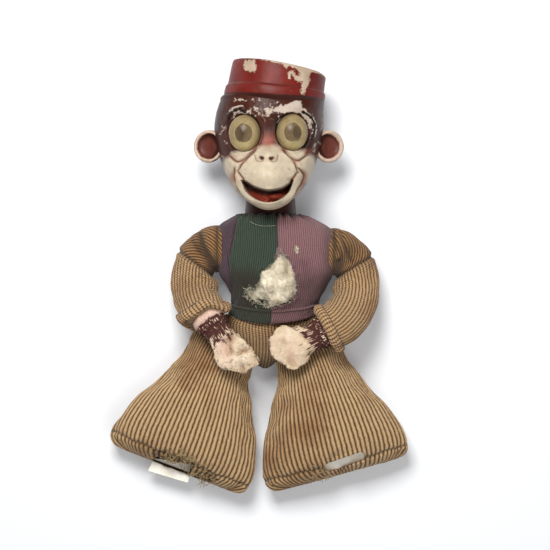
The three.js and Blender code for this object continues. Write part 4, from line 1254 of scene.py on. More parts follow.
for side in ("left", "right"):
    points, ribs, lengths, soil_and_shade = make_cuff(side)
    piece = rolled(side + "_turned_cuff", points, ribs, lengths, closed=False)
    faces_outward(weld=True)
    note_on(piece, "soil_and_shade", laid(piece, soil_and_shade))
    modified(piece, "SOLIDIFY", thickness=1.2 * MM, offset=-1)
    dress(piece, laddered_corduroy, side + "_arm", [side + "_cuff"])

# %% [markdown]
# ## The moulded head
# The head was pressed in a two-part mould and the halves glued at the sides, so it is a smooth
# shell with shallow modelled features. Its skin is a grid rolled on the sections of the skull, half
# a millimetre fine over the face. The creases, lips and mouth are pressed into that skin by how
# far each point lies from lines and outlines read off the photograph.

# %% Sections of the skull
HEAD_X, HEAD_Z, HEAD_POWER = -5.4, 40.0, 2.15
EYES = {"left": (-24.2, 106.5, 72.5), "right": (12.8, 107.2, 72.5)}
EYE_TILT = 5
# Near its top the head leans to the right, under the hat.
HEAD_LEAN = ([110, 126, 134, 141], [0.0, 0.9, 2.6, 3.6])
HEAD_ROWS = [
    (48.0, 0.8, 23, -22.6), (48.8, 5.4, 27.6, -17.6), (50.6, 10.4, 31.4, -12), (54.4, 17.4, 37, -2),
    (60, 23.8, 39.5, 10), (68, 29.8, 41, 20), (78, 35.0, 41, 29), (89, 38.6, 40, 36),
    (102, 42.0, 39.2, 39.6), (115, 43.4, 38.6, 39.8), (126, 42.4, 37.5, 39), (134, 41.4, 38, 38.5),
    (138.5, 40.2, 37, 37), (141, 30, 26, 28),
]
FACE_RELIEF = [
    (0, 72, 22, 16, 12), (0, 88, 7, 5, 4), (0, 51, 20, 8, 9), (-31, 80.5, 8, 9, 5), (31, 80.5, 8, 9, 5),
    (-18.8, 106.5, 12, 14, -3), (18.3, 107, 12, 14, -3), (0, 124, 28, 8, 2.5),
]


def skull(rows, front_columns, back_columns):
    """The plain skin of the head, with the broad swellings of its face."""
    shares = np.linspace(0, 1, 600)
    heights = smooth(HEAD_ROWS, shares)[:, 0]
    along = np.interp(np.linspace(heights[0], heights[-1], rows), heights, shares)
    y, half, ahead, behind = smooth(HEAD_ROWS, along).T[..., None]
    angle = np.concatenate(
        [
            np.linspace(0, np.pi, front_columns, endpoint=False),
            np.linspace(np.pi, 2 * np.pi, back_columns + 1),
        ]
    )
    x = half * rounded(np.cos(angle), HEAD_POWER)
    z = (ahead - behind) / 2 + (ahead + behind) / 2 * rounded(np.sin(angle), HEAD_POWER)
    y = np.broadcast_to(y, x.shape)
    rise = sum(
        height * np.exp(-(((x - cx) / wide) ** 2) - ((y - cy) / high) ** 2)
        for cx, cy, wide, high, height in FACE_RELIEF
    )
    z = z + rise * np.clip(np.sin(angle), 0, 1) ** 0.6
    return np.stack([HEAD_X + x + np.interp(y, *HEAD_LEAN), y, HEAD_Z + z], -1), np.sin(angle)


head_skin, head_facing = skull(190, 270, 130)
print("Head skin:", head_skin.shape[:2])

# %% [markdown]
# ### Where the marks of the face are
# Creases, paint edges and flakes are read off an enlarged view of the photograph, 9.5 steps to
# one of its pixels. At the height of the face one step is 0.082 mm.

# %% Read places in the enlarged view of the face
MARK = 0.0817


def on_face(points):
    """Where points land in the enlarged view of the head."""
    return (in_photo(points) - (210, 50)) * 9.504


def curve(stroke, count=48):
    return smooth(stroke, np.linspace(0, 1, count))


def near(marks, *strokes):
    """How far each place is from the nearest of the strokes, in millimetres."""
    return np.minimum.reduce([from_stroke(marks, stroke)[0] for stroke in strokes]) * MARK


def inside_mark(marks, outline):
    """How deep each place is inside an outline, in millimetres."""
    return inside_outline(marks, outline) * MARK


CREASES = [
    [(440, 935), (380, 985), (330, 1030), (270, 1060), (225, 1045), (190, 1010)],
    [(695, 945), (760, 1010), (830, 1050), (880, 1030), (930, 995)],
    [(435, 955), (350, 1030), (290, 1095), (262, 1150)],
    [(690, 950), (780, 1030), (820, 1100), (838, 1165)],
    [(232, 1120), (228, 1200), (262, 1300), (330, 1400)],
    [(822, 1105), (882, 1165), (897, 1205), (870, 1270), (800, 1370), (772, 1420)],
    [(268, 1160), (292, 1205), (318, 1236)], [(770, 1252), (808, 1208), (830, 1165)],
]
MOUTH_TOP = [
    (300, 1238), (340, 1246), (412, 1290), (470, 1312), (560, 1328), (680, 1308), (755, 1264),
    (796, 1232),
]
MOUTH_BOTTOM = [
    (796, 1232), (764, 1320), (722, 1376), (640, 1430), (560, 1447), (490, 1438), (420, 1404),
    (345, 1334), (300, 1238),
]
mouth_outline = np.concatenate([curve(MOUTH_TOP), curve(MOUTH_BOTTOM)[1:-1]])
LOWER_LIP = [
    (258, 1190), (280, 1300), (362, 1392), (465, 1470), (560, 1494), (662, 1470), (764, 1392),
    (836, 1275),
]
IVORY = [
    (205, 975), (300, 960), (420, 945), (500, 905), (560, 890), (620, 905), (700, 950), (830, 955),
    (905, 950), (900, 990), (960, 1000), (1000, 1040), (1005, 1120), (1000, 1180), (960, 1240), (900, 1270),
    (870, 1330), (800, 1420), (700, 1490), (560, 1522), (430, 1500), (320, 1420), (240, 1330), (180, 1240),
    (135, 1180), (125, 1090), (140, 1040), (190, 1010),
]
NOSTRIL_MIDDLES = [(490, 1026), (582, 1031)]
WING_CREASES = [[(425, 1000), (440, 1045), (500, 1050)], [(650, 1000), (636, 1052), (580, 1056)]]
PHILTRUM = [(545, 1075), (552, 1180), (558, 1290)]
BROWS = [[(165, 700), (215, 605), (330, 560), (450, 600)], [(640, 610), (760, 560), (890, 575), (985, 700)]]
INNER_LIP = [(352, 1312), (410, 1372), (475, 1412), (545, 1436)]
print("The mouth is", round((MOUTH_TOP[-1][0] - MOUTH_TOP[0][0]) * MARK, 1), "mm wide")


# %% Press the creases, lips and eye pits into the skin
def model_face(points, facing):
    points = points.copy()
    normal = outward(points)
    marks = on_face(points)
    front = blend_in((facing[None, :] - 0.05) / 0.25)
    lines = np.full(points.shape[:2], 99.0)
    relief = np.zeros(points.shape[:2])
    for crease in CREASES:
        far, along = from_stroke(marks, crease)
        far = far * MARK
        lines = np.minimum(lines, far + 0.35 * np.clip(np.abs(along - 0.5) * 2 - 0.7, 0, 1))
        ends = np.clip(np.minimum(along, 1 - along) / 0.12, 0.25, 1)
        relief += ends * (-1.5 * hump(far, 0.95) + 0.45 * hump(far - 2.4, 1.6))
    # The lower lip is a roll, and the upper lip a soft edge above the crease that outlines it.
    lip, lip_along = from_stroke(marks, LOWER_LIP)
    relief += 1.9 * hump(lip * MARK, 2.0) * np.clip(np.minimum(lip_along, 1 - lip_along) / 0.1, 0.3, 1)
    # Nose: a short tip over two nostrils, with a wing at each side.
    relief += 1.3 * spot(marks, 545, 985, 95, 48)
    for x, y in NOSTRIL_MIDDLES:
        relief -= 2.0 * hump(np.hypot(marks[..., 0] - x, (marks[..., 1] - y) * 1.25) * MARK, 1.15)
    for wing in WING_CREASES:
        relief -= 0.8 * hump(near(marks, wing), 0.9)
    # Philtrum, brows and the unevenness of a hand-pressed mould.
    relief -= 0.6 * hump(near(marks, PHILTRUM), 2.2)
    for brow in BROWS:
        relief += 1.2 * hump(near(marks, brow), 3.6)
    relief += 0.22 * ripple(points, 26, 51) + 0.07 * ripple(points, 6, 52)
    points += normal * (relief * front)[..., None]
    # Where the two halves of the mould met there is a faint ridge, filed nearly flat.
    ridge = hump(points[..., 2] - HEAD_Z, 0.8)
    points += normal * (0.25 * ridge)[..., None]
    # The open mouth, with the tongue and the inner edge of the lower lip in it.
    inside = inside_mark(marks, mouth_outline)
    deep = 10.5 * blend_in((inside + 0.6) / 1.5) * front
    tongue = np.hypot((marks[..., 0] - 650) / 92, (marks[..., 1] - 1388) / 36)
    deep -= 5.5 * np.exp(-(tongue**4)) * (inside > 0)
    deep -= 5.0 * hump(near(marks, INNER_LIP), 1.3) * (inside > 0)
    points[..., 2] -= deep
    # Oval pits for the eyes, a little wider than the eyes, with a soft raised rim.
    for side, (x, y, _) in EYES.items():
        round_eye = np.hypot((points[..., 0] - x) / 12.5, (points[..., 1] - y) / 14.5)
        rim = hump(round_eye - 1.1, 0.07)
        points += normal * (0.8 * rim * front)[..., None]
        seat = 72.4 - (points[..., 0] - x) * math.tan(math.radians(EYE_TILT * SIGN[side]))
        sunk = blend_in((1.035 - round_eye) * 13 / 0.8) * (facing[None, :] > 0)
        points[..., 2] += sunk * np.minimum(seat - points[..., 2], 0)
    return points, marks, lines, inside


head_points, head_marks, head_lines, mouth_inside = model_face(head_skin, head_facing)
print("The mouth is up to", round(float(mouth_inside.max()), 1), "mm from its edge")

# %% [markdown]
# ### Where each paint lies
# The ivory face was sprayed through a stencil, the blush by hand with an airbrush, and the brown
# lines and black lashes with a small brush. Each coat is kept as a number in millimetres that is
# above zero where it lies, so that its edge can be drawn exactly, however coarse the mesh is.

# %% List the blush, the lashes and the flakes
BLUSH = [
    (552, 872, 72, 58, 1.15), (548, 800, 60, 60, 0.3), (200, 1230, 50, 60, 0.75),
    (885, 1285, 42, 85, 0.55), (430, 925, 42, 32, 0.4), (690, 945, 50, 36, 0.45),
    (230, 1010, 60, 30, 0.55), (930, 962, 70, 30, 0.6), (330, 1062, 60, 26, 0.4),
    (800, 1062, 60, 26, 0.4), (490, 1030, 34, 20, 0.75), (584, 1034, 34, 20, 0.75),
    (340, 1250, 60, 24, 0.4), (770, 1225, 60, 30, 0.4), (560, 1505, 160, 12, 0.35),
    (262, 1370, 26, 70, 0.55), (322, 1452, 50, 30, 0.5), (840, 1395, 36, 60, 0.5),
    (900, 1190, 30, 60, 0.4),
]
LASHES = [
    [(182, 649), (205, 606), (250, 576), (300, 572), (340, 590)],
    [(871, 586), (945, 636), (984, 710), (990, 770), (970, 850)],
    [(633, 760), (622, 704), (640, 655), (680, 624), (730, 606)],
    [(178, 700), (196, 650)],
]
HEAD_FLAKES = [
    [(520, 555), (545, 545), (560, 580), (590, 545), (600, 570), (580, 610), (540, 635), (525, 600)],
    [
        (600, 580), (640, 540), (670, 505), (690, 530), (740, 520), (800, 485), (855, 483), (872, 540),
        (905, 575), (945, 640), (958, 700), (950, 745), (930, 740), (925, 690), (895, 650), (850, 600),
        (760, 590), (700, 610), (640, 590),
    ],
    [(960, 620), (990, 680), (1012, 760), (985, 838), (960, 835), (985, 760), (975, 700), (950, 640)],
    [(640, 640), (665, 625), (690, 635), (665, 665), (645, 685)],
]
FLAKE_STROKES = [
    ([(175, 605), (215, 560), (260, 540), (315, 532)], 7),
    ([(230, 640), (250, 600), (300, 590), (330, 605), (375, 580), (392, 605)], 5),
    ([(95, 800), (120, 760), (165, 740)], 3.5), ([(240, 476), (300, 470), (340, 480)], 5),
    ([(426, 545), (438, 566)], 5), ([(470, 470), (478, 482)], 5), ([(140, 868), (152, 880)], 4),
    ([(1060, 760), (1078, 690), (1080, 620)], 3), ([(455, 560), (470, 600)], 4),
    ([(500, 620), (520, 660)], 3), ([(350, 620), (372, 640)], 4), ([(410, 470), (430, 490)], 3),
    ([(112, 740), (150, 728)], 3), ([(560, 520), (640, 500)], 4), ([(1000, 900), (985, 960)], 5),
    ([(1035, 880), (1060, 905)], 5), ([(120, 1010), (140, 1040)], 5), ([(1010, 1000), (1030, 1015)], 4),
]
CRACKS = [
    [(320, 1166), (353, 1180), (380, 1173), (420, 1193), (414, 1213)],
    [(594, 1140), (620, 1120), (647, 1106), (700, 1113), (754, 1133), (800, 1160)],
    [(554, 1186), (580, 1166), (594, 1153)], [(330, 1130), (345, 1150)], [(700, 1150), (740, 1172)],
]
WINGS = [
    [(425, 1000), (436, 1044), (470, 1058), (505, 1052)],
    [(650, 1000), (640, 1046), (612, 1062), (578, 1054)],
]
NOSTRILS = [[(484, 1022), (492, 1030), (502, 1028)], [(572, 1030), (582, 1034), (592, 1028)]]
ABSENT = -5.0
HEAD_COATS = ("ivory", "blush", "rosy", "line", "black", "rim", "throat", "tongue")


def deepest(marks, outlines, strokes=()):
    """How far inside the nearest flake each place is, in millimetres."""
    depth = np.full(marks.shape[:-1], -9.0)
    for outline in outlines:
        depth = np.maximum(depth, inside_mark(marks, outline))
    for stroke, half_width in strokes:
        depth = np.maximum(depth, (half_width - from_stroke(marks, stroke)[0]) * MARK)
    return depth


def paint_head(piece, where=True, **coats):
    """Notes every coat of the head's paint; it is absent where it isn't given or may not lie."""
    for name in HEAD_COATS + ("chip", "rubbed"):
        values = coats.get(name, ABSENT)
        if name != "rubbed":
            values = np.where(where, values, ABSENT)
        if np.ndim(values) == 2:
            values = laid(piece, values)
        note_on(piece, name, np.broadcast_to(values, (len(piece.data.vertices),)))


# %% Roll the head and note its paint
moulded_head = rolled("moulded_head", head_points)
seen = (head_facing[None, :] > -0.05) & np.ones(head_points.shape[:2], bool)
blush = sum(strength * spot(head_marks, x, y, wide, high) for x, y, wide, high, strength in BLUSH)
ivory = inside_mark(head_marks, curve(IVORY + IVORY[:1], 160)[:-1])
lash = near(head_marks, *LASHES)
nostril = near(head_marks, *NOSTRILS)
forehead = spot(head_marks, 480, 590, 260, 110)
# The tongue's upper edge sags a little in its middle.
tongue = 0.05 * (head_marks[..., 1] - 1376 + 0.0009 * (head_marks[..., 0] - 560) ** 2)
paint_head(
    moulded_head, seen,
    chip=np.minimum(deepest(head_marks, HEAD_FLAKES, FLAKE_STROKES), (lash - 0.95) * 2),
    rubbed=np.where(seen, 0.15 + 0.5 * forehead + 0.2 * (ivory < 0), 0.3),
    ivory=ivory,
    blush=1.8 * (blush + 0.32 * hump(head_lines, 1.6)) - 1.2,
    line=np.maximum.reduce([0.55 - head_lines, 1.15 - nostril, 0.2 - near(head_marks, *WINGS)]),
    black=np.maximum.reduce([1.0 - lash, -0.12 - near(head_marks, *CRACKS), 0.55 - nostril]),
    throat=mouth_inside - 0.2,
    tongue=np.where(mouth_inside > 0.3, tongue, ABSENT),
)
dress(moulded_head, head_enamel, "head", ("head_face", "head_back"))

# %% [markdown]
# ## Turned shapes
# The hat, the ears, the neck and the eyes are all round about a line, as if turned on a lathe. Each
# starts as a circle, which is extruded and scaled step by step along its profile in edit mode.

# %% Turn a profile about a line
def turned(name, profile, segments):
    """A circle extruded along a profile of (radius, height) pairs, in millimetres, about Z."""
    radius, height = profile[0]
    place = (0, 0, height * MM)
    piece = started(
        name, bpy.ops.mesh.primitive_circle_add, vertices=segments, radius=radius * MM,
        fill_type="NGON", location=place,
    )
    bpy.ops.object.transform_apply(location=True, rotation=True, scale=True)
    bpy.ops.object.mode_set(mode="EDIT")
    bpy.ops.mesh.select_all(action="SELECT")
    for next_radius, next_height in profile[1:]:
        bpy.ops.mesh.extrude_region_move(
            TRANSFORM_OT_translate={"value": (0, 0, (next_height - height) * MM)}
        )
        scale = next_radius / radius
        bpy.ops.transform.resize(value=(scale, scale, 1))
        radius, height = next_radius, next_height
    bpy.ops.object.mode_set(mode="OBJECT")
    faces_outward()
    bpy.ops.object.shade_smooth()
    return piece


def between(profile, spacing):
    """The same profile with more places on its straight lines, about a spacing apart."""
    places = [profile[0]]
    for start, end in zip(profile, profile[1:]):
        steps = max(1, round(math.dist(start, end) / spacing))
        for step in range(1, steps + 1):
            places.append(tuple(a + (b - a) * step / steps for a, b in zip(start, end)))
    return places


def turn_matrix(x=0.0, y=0.0, z=0.0):
    """Turns about Z, then Y, then X, in degrees, as one matrix."""
    parts = [
        Matrix.Rotation(math.radians(angle), 3, axis) for angle, axis in ((x, "X"), (y, "Y"), (z, "Z"))
    ]
    return np.array(parts[0] @ parts[1] @ parts[2])


def put(piece, turn, place):
    """Moves a piece's own vertices: turned by a matrix, then carried to a place in millimetres."""
    write_points(piece, read_points(piece.data) @ np.asarray(turn).T + np.asarray(place))


# %% Turn the pillbox hat
HAT_PROFILE = [
    (24, -4), (35.4, -4), (38.4, -1.2), (39.6, -0.2), (40.5, 0.9), (40.6, 4.5), (40.15, 8.2), (39.4, 9.2),
    (38.7, 9.6), (38.6, 10.4), (37.75, 26), (37.7, 27.8), (37.1, 29.3), (35.6, 30.0), (33.5, 29.9),
    (30, 29.4), (4, 29.0), (0.5, 29.0),
]
hat = turned("pillbox_hat", between(HAT_PROFILE, 1.0), 256)
hat_local = read_points(hat.data)
hat_along = hat_local[:, 2].copy()
hat_radius = np.hypot(hat_local[:, 0], hat_local[:, 1])
# The turning line of a profile is Z, and becomes the hat's and the neck's own line along Y.
ALONG_Y = np.array([[1, 0, 0], [0, 0, 1], [0, -1, 0]])
HAT_MIDDLE = (-1.4, 134.5, 42)
put(hat, turn_matrix(-2, 0, -9) @ ALONG_Y, HAT_MIDDLE)
hat_points = read_points(hat.data)
# The hat was pressed out of true: its band is nearly level, while its top slopes.
base_shift = np.interp(hat_points[:, 0], [-41, 0, 39], [-2.7, -0.6, 5.8])
top_shift = np.interp(hat_points[:, 0], [-38, 0, 38], [-2.6, -3.2, -4.2])
hat_points[:, 1] += base_shift + (top_shift - base_shift) * np.clip(hat_along / 29, 0, 1)
hat_normal = hat_points - np.array(HAT_MIDDLE)
hat_normal /= np.linalg.norm(hat_normal, axis=1, keepdims=True)
uneven = 0.3 * ripple(hat_points, 30, 61) + 0.08 * ripple(hat_points, 7, 62)
write_points(hat, hat_points + hat_normal * uneven[:, None])
hat_marks = on_face(hat_points)
HAT_FLAKES = [
    [(325, 95), (430, 90), (432, 200), (420, 215), (330, 185), (315, 150)],
    [(690, 125), (735, 130), (735, 185), (700, 160)],
    [
        (770, 130), (850, 150), (960, 165), (1060, 205), (1050, 235), (1000, 205), (965, 215), (945, 250),
        (940, 310), (925, 350), (905, 400), (890, 425), (860, 420), (865, 380), (880, 330), (870, 300),
        (820, 300), (800, 260), (770, 215), (760, 265), (745, 270), (745, 200), (790, 195), (830, 250),
        (850, 240), (840, 200), (800, 165),
    ],
]
hat_flake = deepest(hat_marks, HAT_FLAKES)
worn_edge = np.interp(hat_marks[:, 0], [480, 600, 820, 1000, 1120], [0, 1.0, 2.4, 1.9, 1.4])
edge_wear = worn_edge - np.hypot(np.clip(28.9 - hat_along, 0, None), np.clip(36.0 - hat_radius, 0, None))
edge_wear = np.where(hat_marks[:, 0] > 480, edge_wear - 0.3, ABSENT)
# The flakes stop a little way in from the rim of the top.
hat_flake -= np.clip(35.5 - hat_radius, 0, None) * 0.35 * (hat_along > 28.6)
hat_flake = np.where(hat_points[:, 2] > HAT_MIDDLE[2], np.maximum(hat_flake, edge_wear), ABSENT)
# Painted shade darkens the groove where the band meets the crown.
note_on(hat, "shade", 1.0 - np.abs(hat_along - 9.6) * 1.3)
note_on(hat, "fur", 1.0 - hat_along)
note_on(hat, "chip", hat_flake)
speckled = spot(hat_marks, 640, 392, 170, 16)
note_on(hat, "rubbed", 0.3 + 0.15 * hump(hat_along - 9.5, 2) + 0.4 * (hat_along > 26.5) + 0.4 * speckled)
dress(hat, hat_enamel, "head")

# %% [markdown]
# ### Ears and neck
# The ears are dished ovals half let into the sides of the head. The sprayed fur stops at their rims,
# which keep the cream ground, and their bowls are a dull pink. The neck is a short tube with a
# flange at its foot, over which the vest's collar is tied.

# %% Turn the ears
EAR_PROFILE = [
    (0.5, -5.4), (5, -5.0), (9.2, -3.7), (11.9, -1.8), (13.0, 0.2), (12.9, 1.7), (12.2, 2.7), (11.1, 3.0),
    (10.2, 2.3), (9.3, 0.9), (7.6, -0.5), (5.0, -1.3), (2.0, -1.6), (0.4, -1.65),
]
for side, sign in SIGN.items():
    ear = turned(side + "_ear", between([tuple(row) for row in curve(EAR_PROFILE, 40)], 0.9), 96)
    ear_local = read_points(ear.data)
    ear_radius = np.hypot(ear_local[:, 0], ear_local[:, 1])
    bowl = ear_local[:, 2] - np.interp(ear_radius, [0, 9, 13], [-3.5, -2.0, 0.6])
    # The bowl has a small fold of gristle towards the head.
    fold = np.exp(-np.hypot((ear_local[:, 0] + sign * 4.5) / 2.6, ear_local[:, 1] / 6.5) ** 2)
    ear_local[:, 2] += np.where(bowl > 0, 1.7 * fold, 0)
    write_points(ear, ear_local + 0.15 * ripple(ear_local, 9, 63)[:, None])
    put(ear, turn_matrix(0, sign * 24, 0), (HEAD_X + sign * 47.5, 98.5, 40))
    upward = ear_local[:, 2] > -1.9
    outer = ear_local[:, 0] * sign
    inner = np.where(upward, 9.4 - ear_radius, ABSENT) - 0.3 * np.clip(ear_local[:, 1], -2, 8)
    cream = 1.9 - np.abs(ear_radius - 11.8) + 0.105 * np.clip(outer, -6, 4) - 0.5 * (sign < 0)
    paint_head(
        ear, upward, chip=cream - 1.4, rubbed=0.3, rosy=inner - 0.75 * np.clip(-outer - 0.5, 0, 9),
        rim=cream,
    )
    dress(ear, head_enamel, "head")

# %% Turn the neck
NECK_PROFILE = [
    (16, 30), (21, 30), (22, 30.8), (22, 33.4), (21.2, 34.4), (19.6, 35.4), (19.4, 36.5), (20.2, 40),
    (20.6, 44), (20.0, 52), (19.0, 66), (18.2, 74), (4, 74), (0.5, 74),
]
neck = turned("neck_tube", between(NECK_PROFILE, 1.2), 128)
put(neck, ALONG_Y, (-4, 0, 31))
paint_head(neck, rubbed=0.35)
dress(neck, head_enamel, "head")

# %% [markdown]
# ## Broken hands
# The hands were pressed from the same paste as the head, painted maroon and tied into the cuffs by
# a flange at the wrist. The fingers have snapped off and most of the paint is gone, so what shows
# is pale crumbling paste. The wrist is turned; the palm is a slab cut to its broken outline; a
# fine remesh then joins them, and the crumbled surface is pressed into the result.

# %% Draw the wrist and the broken palms
CUTTER_REACH = 14.0
WRIST_PROFILE = [
    (2, 6.6), (12.4, 6.6), (13.5, 5.9), (13.8, 5.2), (13.8, 1.6), (13.4, 1.1), (12.2, 0.5), (12.0, -1.4),
    (12.8, -2.0), (13.2, -2.8), (13.1, -4.2), (12.4, -4.9), (11.2, -5.8), (10.9, -8), (10.5, -14),
    (2, -14),
]
PALM_ROWS = [
    (0, -4, 0, 10.2, 6.9, 0), (0, -14, 0, 11.5, 7.6, 0), (-0.5, -24, 0.6, 17, 7.4, 0),
    (-1, -36, 0.4, 20.5, 7, 0), (0, -52, -1.2, 19, 5.2, 0),
]
PALM_PLAN = {
    "left": [
        (-9.6, -4), (-9.4, -9), (-9.2, -14), (-10.8, -20), (-13.2, -26), (-14.2, -31), (-12.8, -35.5),
        (-10.5, -37.8), (-8.4, -39.2), (-6.6, -42.0), (-4.6, -43.6), (-2.6, -47.2), (0.4, -48.9),
        (4, -47.6), (8.5, -48.6), (13.4, -48.3), (15.2, -45.5), (15.6, -41), (15.4, -35), (14.8, -29),
        (13.0, -22), (11.3, -16), (10.8, -9), (10.6, -4),
    ],
    "right": [
        (-10.4, -4), (-12.4, -9), (-15.5, -12.5), (-17.8, -16.5), (-20.2, -21), (-21.4, -26),
        (-19.2, -31), (-16.2, -36.4), (-13.2, -42), (-9.5, -42.8), (-5.0, -44.6), (-0.9, -45.8),
        (3.0, -44.0), (5.5, -42.6), (9.6, -39.8), (15.6, -36.0), (16.6, -32), (16.0, -26), (16.6, -20),
        (15.2, -13.5), (12.0, -9), (10.4, -4),
    ],
}


def in_hand(side, points):
    """Points of the scene in the hand's own frame: across, along and up."""
    turn = math.radians(HAND_TURN[side])
    x, y = points[..., 0] - CUFF_MOUTH[side][0], points[..., 1] - CUFF_MOUTH[side][1]
    across = x * math.cos(turn) + y * math.sin(turn)
    along = -x * math.sin(turn) + y * math.cos(turn)
    return np.stack([across, along, points[..., 2] - HAND_Z], -1)


def cut_out(name, outline, bottom, thickness, bevel=0.0):
    """A slab with a flat outline, from a height up, its top edge bevelled half a millimetre deep when a
    bevel is given.
    """
    add_circle = bpy.ops.mesh.primitive_circle_add
    piece = started(name, add_circle, vertices=len(outline), radius=1, fill_type="NGON")
    write_points(piece, np.column_stack([outline, np.full(len(outline), bottom)]))
    lip = 0.5 if bevel else 0.0
    bpy.ops.object.mode_set(mode="EDIT")
    bpy.ops.mesh.select_all(action="SELECT")
    bpy.ops.mesh.extrude_region_move(TRANSFORM_OT_translate={"value": (0, 0, (thickness - lip) * MM)})
    if bevel:
        bpy.ops.mesh.inset(thickness=bevel * MM, depth=lip * MM)
    bpy.ops.object.mode_set(mode="OBJECT")
    faces_outward()
    return piece


def cut_palm(side):
    """A slab with the sections of the palm, cut through by its broken outline."""
    rings = even_ring(PALM_ROWS, np.linspace(0, 1, 30), 96, 2.6, floor=-99)
    palm = rolled(side + "_palm", np.concatenate([rings, rings[:, :1]], axis=1))
    plan = np.array(PALM_PLAN[side], float)
    shares = np.linspace(0, 1, 6, endpoint=False)[:, None]
    sides = zip(plan, np.roll(plan, -1, axis=0))
    outline = np.concatenate([start + (end - start) * shares for start, end in sides])
    rough = np.random.default_rng(71 + len(side)).normal(size=outline.shape) * 0.28
    outline += rough * (outline[:, 1:] < -15)
    cutter = cut_out("palm_cutter", outline, -CUTTER_REACH, 2 * CUTTER_REACH)
    modified(palm, "BOOLEAN", operation="INTERSECT", solver="EXACT", object=cutter)
    bpy.data.objects.remove(cutter, do_unlink=True)
    return palm


def broken_chunks(side, across, towards, up):
    """Dry paste breaks off in chunks: each is a small flat face, tilted its own way."""
    rng = np.random.default_rng(121 + len(side))
    centres = rng.uniform((-22, 4, -9), (22, 52, 9), (110, 3))
    tilts = rng.normal(size=(110, 3)) * 0.16
    steps = rng.normal(size=110) * 0.22
    places = np.stack([across, towards, up], -1)
    chunk = np.argmin(((places[:, None] - centres[None]) ** 2).sum(-1), axis=1)
    lift = ((places - centres[chunk]) * tilts[chunk]).sum(-1) + steps[chunk]
    return np.clip(lift, -0.9, 0.7)


# %% Fuse, crumble and paint the hands
WRIST_LEAN = {"left": 0.34, "right": 0.1}
HOLLOW_SHARE = {"left": 1.0, "right": 0.35}
WRIST_DAB = [(228.5, 335), (231, 341)]
HOLLOW = {
    "left": [(231.0, 336.5), (227.5, 343.5), (229.5, 352.5)], "right": [(283.5, 341.0), (284.5, 343.0)],
}
for side in ("left", "right"):
    wrist = turned(side + "_broken_hand", between(WRIST_PROFILE, 0.9), 96)
    across, deep, along = read_points(wrist.data).T
    write_points(wrist, np.stack([across, along, -0.7 * deep], -1))
    pick(wrist, cut_palm(side))
    bpy.ops.object.join()
    modified(wrist, "REMESH", mode="VOXEL", voxel_size=0.62 * MM)
    bpy.ops.object.shade_smooth()
    put(wrist, turn_matrix(0, 0, HAND_TURN[side]), (*CUFF_MOUTH[side][:2], HAND_Z))
    points = read_points(wrist.data)
    across, along, up = in_hand(side, points).T
    # The wrist was tied in aslant, so its rings lean back.
    lean = WRIST_LEAN[side] * up * blend_in((along + 10) / 7)
    points = points - lean[:, None] * pastcuff(side)
    write_points(wrist, points)
    normal = directions(wrist)
    towards = -along
    palm_part = blend_in((towards - 12) / 5)
    photo = in_photo(points)
    hollow_deep = hump(from_stroke(photo, HOLLOW[side])[0], 3.8) * (up > 0) * palm_part * HOLLOW_SHARE[side]
    # Where the paste broke it left flat facets that meet in sharp crests.
    facets = -1.7 * np.abs(ripple(points, 19, 72)) + 0.45 + broken_chunks(side, across, towards, up)
    crumble = facets + 0.05 * ripple(points, 1.8, 75)
    edge = np.clip(np.abs(normal[:, :2]).max(axis=1) - 0.4, 0, 1) * palm_part
    move = crumble * (0.15 + 0.85 * palm_part) * (0.8 + 0.5 * edge) - 2.9 * hollow_deep
    write_points(wrist, points + normal * np.minimum(move, 0.5)[:, None])
    streak = ripple(np.stack([across, along * 0.1, up], -1), 1.1, 76)
    sleeve_side = 0.9 * ripple(points, 8, 77)
    scratch = ripple(np.stack([across, along * 0.07, up], -1), 0.75, 80)
    maroon = 0.4 * np.minimum(towards - 3.6, 14.6 + 5.5 * streak + sleeve_side - towards)
    maroon = np.minimum(maroon, 1.0 + 1.2 * scratch)
    ring = np.where(towards < 6.5, np.minimum(towards + 0.6, 0.8 + 1.1 * scratch), -5)
    paint = np.maximum(maroon, ring)
    if side == "left":
        paint = np.maximum(paint, 0.9 * (hump(from_stroke(photo, WRIST_DAB)[0], 1.4) - 0.5))
    note_on(wrist, "paint", paint)
    # Painted shade: brown in the low places between the crests of the broken paste and in the hollow of the
    # palm, which is also stained.
    shade = np.maximum(3.0 * (hollow_deep - 0.3), -2.0 - 1.6 * facets)
    note_on(wrist, "shade", np.where(towards > 6, shade, -3.0))
    note_on(wrist, "bloom", np.where(towards < 1.0, 2.0, -1.0 + 1.2 * ripple(points, 16, 78)))
    note_on(wrist, "chip", np.full(len(points), ABSENT))
    dress(wrist, hand_composition, side + "_hand", [side + "_hand"])

# %% [markdown]
# ## The patchwork vest
# The vest is sewn from four pieces of fine needlecord over the stuffed trunk: dark green on the
# chest's left, faded mauve on its right, plum behind, with the plum coming round to the front as a
# strip at the left armhole. One skin is pushed out by the wadding, and the panels are then read off
# it between their seams, so that they meet edge to edge as sewn cloth does.

# %% Let the wadding fill the vest
VEST_ROWS = [
    (-3, -42.5, 22, 32.5, 21.5, 0), (-2, -34, 22.5, 34, 22.5, 0), (-0.5, -24, 24.5, 35.6, 24.5, 0),
    (0.5, -14, 26, 39.5, 26.5, 0), (0.5, -2, 27.2, 46.5, 28.3, 0), (0, 14, 27.5, 48.5, 28.5, 0),
    (0, 27, 28, 47.6, 27.5, 0), (-2.6, 35.5, 29, 42, 26.5, 0), (-3.4, 41, 30.5, 30, 25, 0),
    (-4, 44, 31, 23, 22.6, 0),
]
ARMHOLE_LIMIT = 46.3
VEST_HEIGHT = 86
# One pixel of the photograph at the height of the chest.
CHEST_PIXEL = 0.79
NEEDLECORD_WALE = 1.75


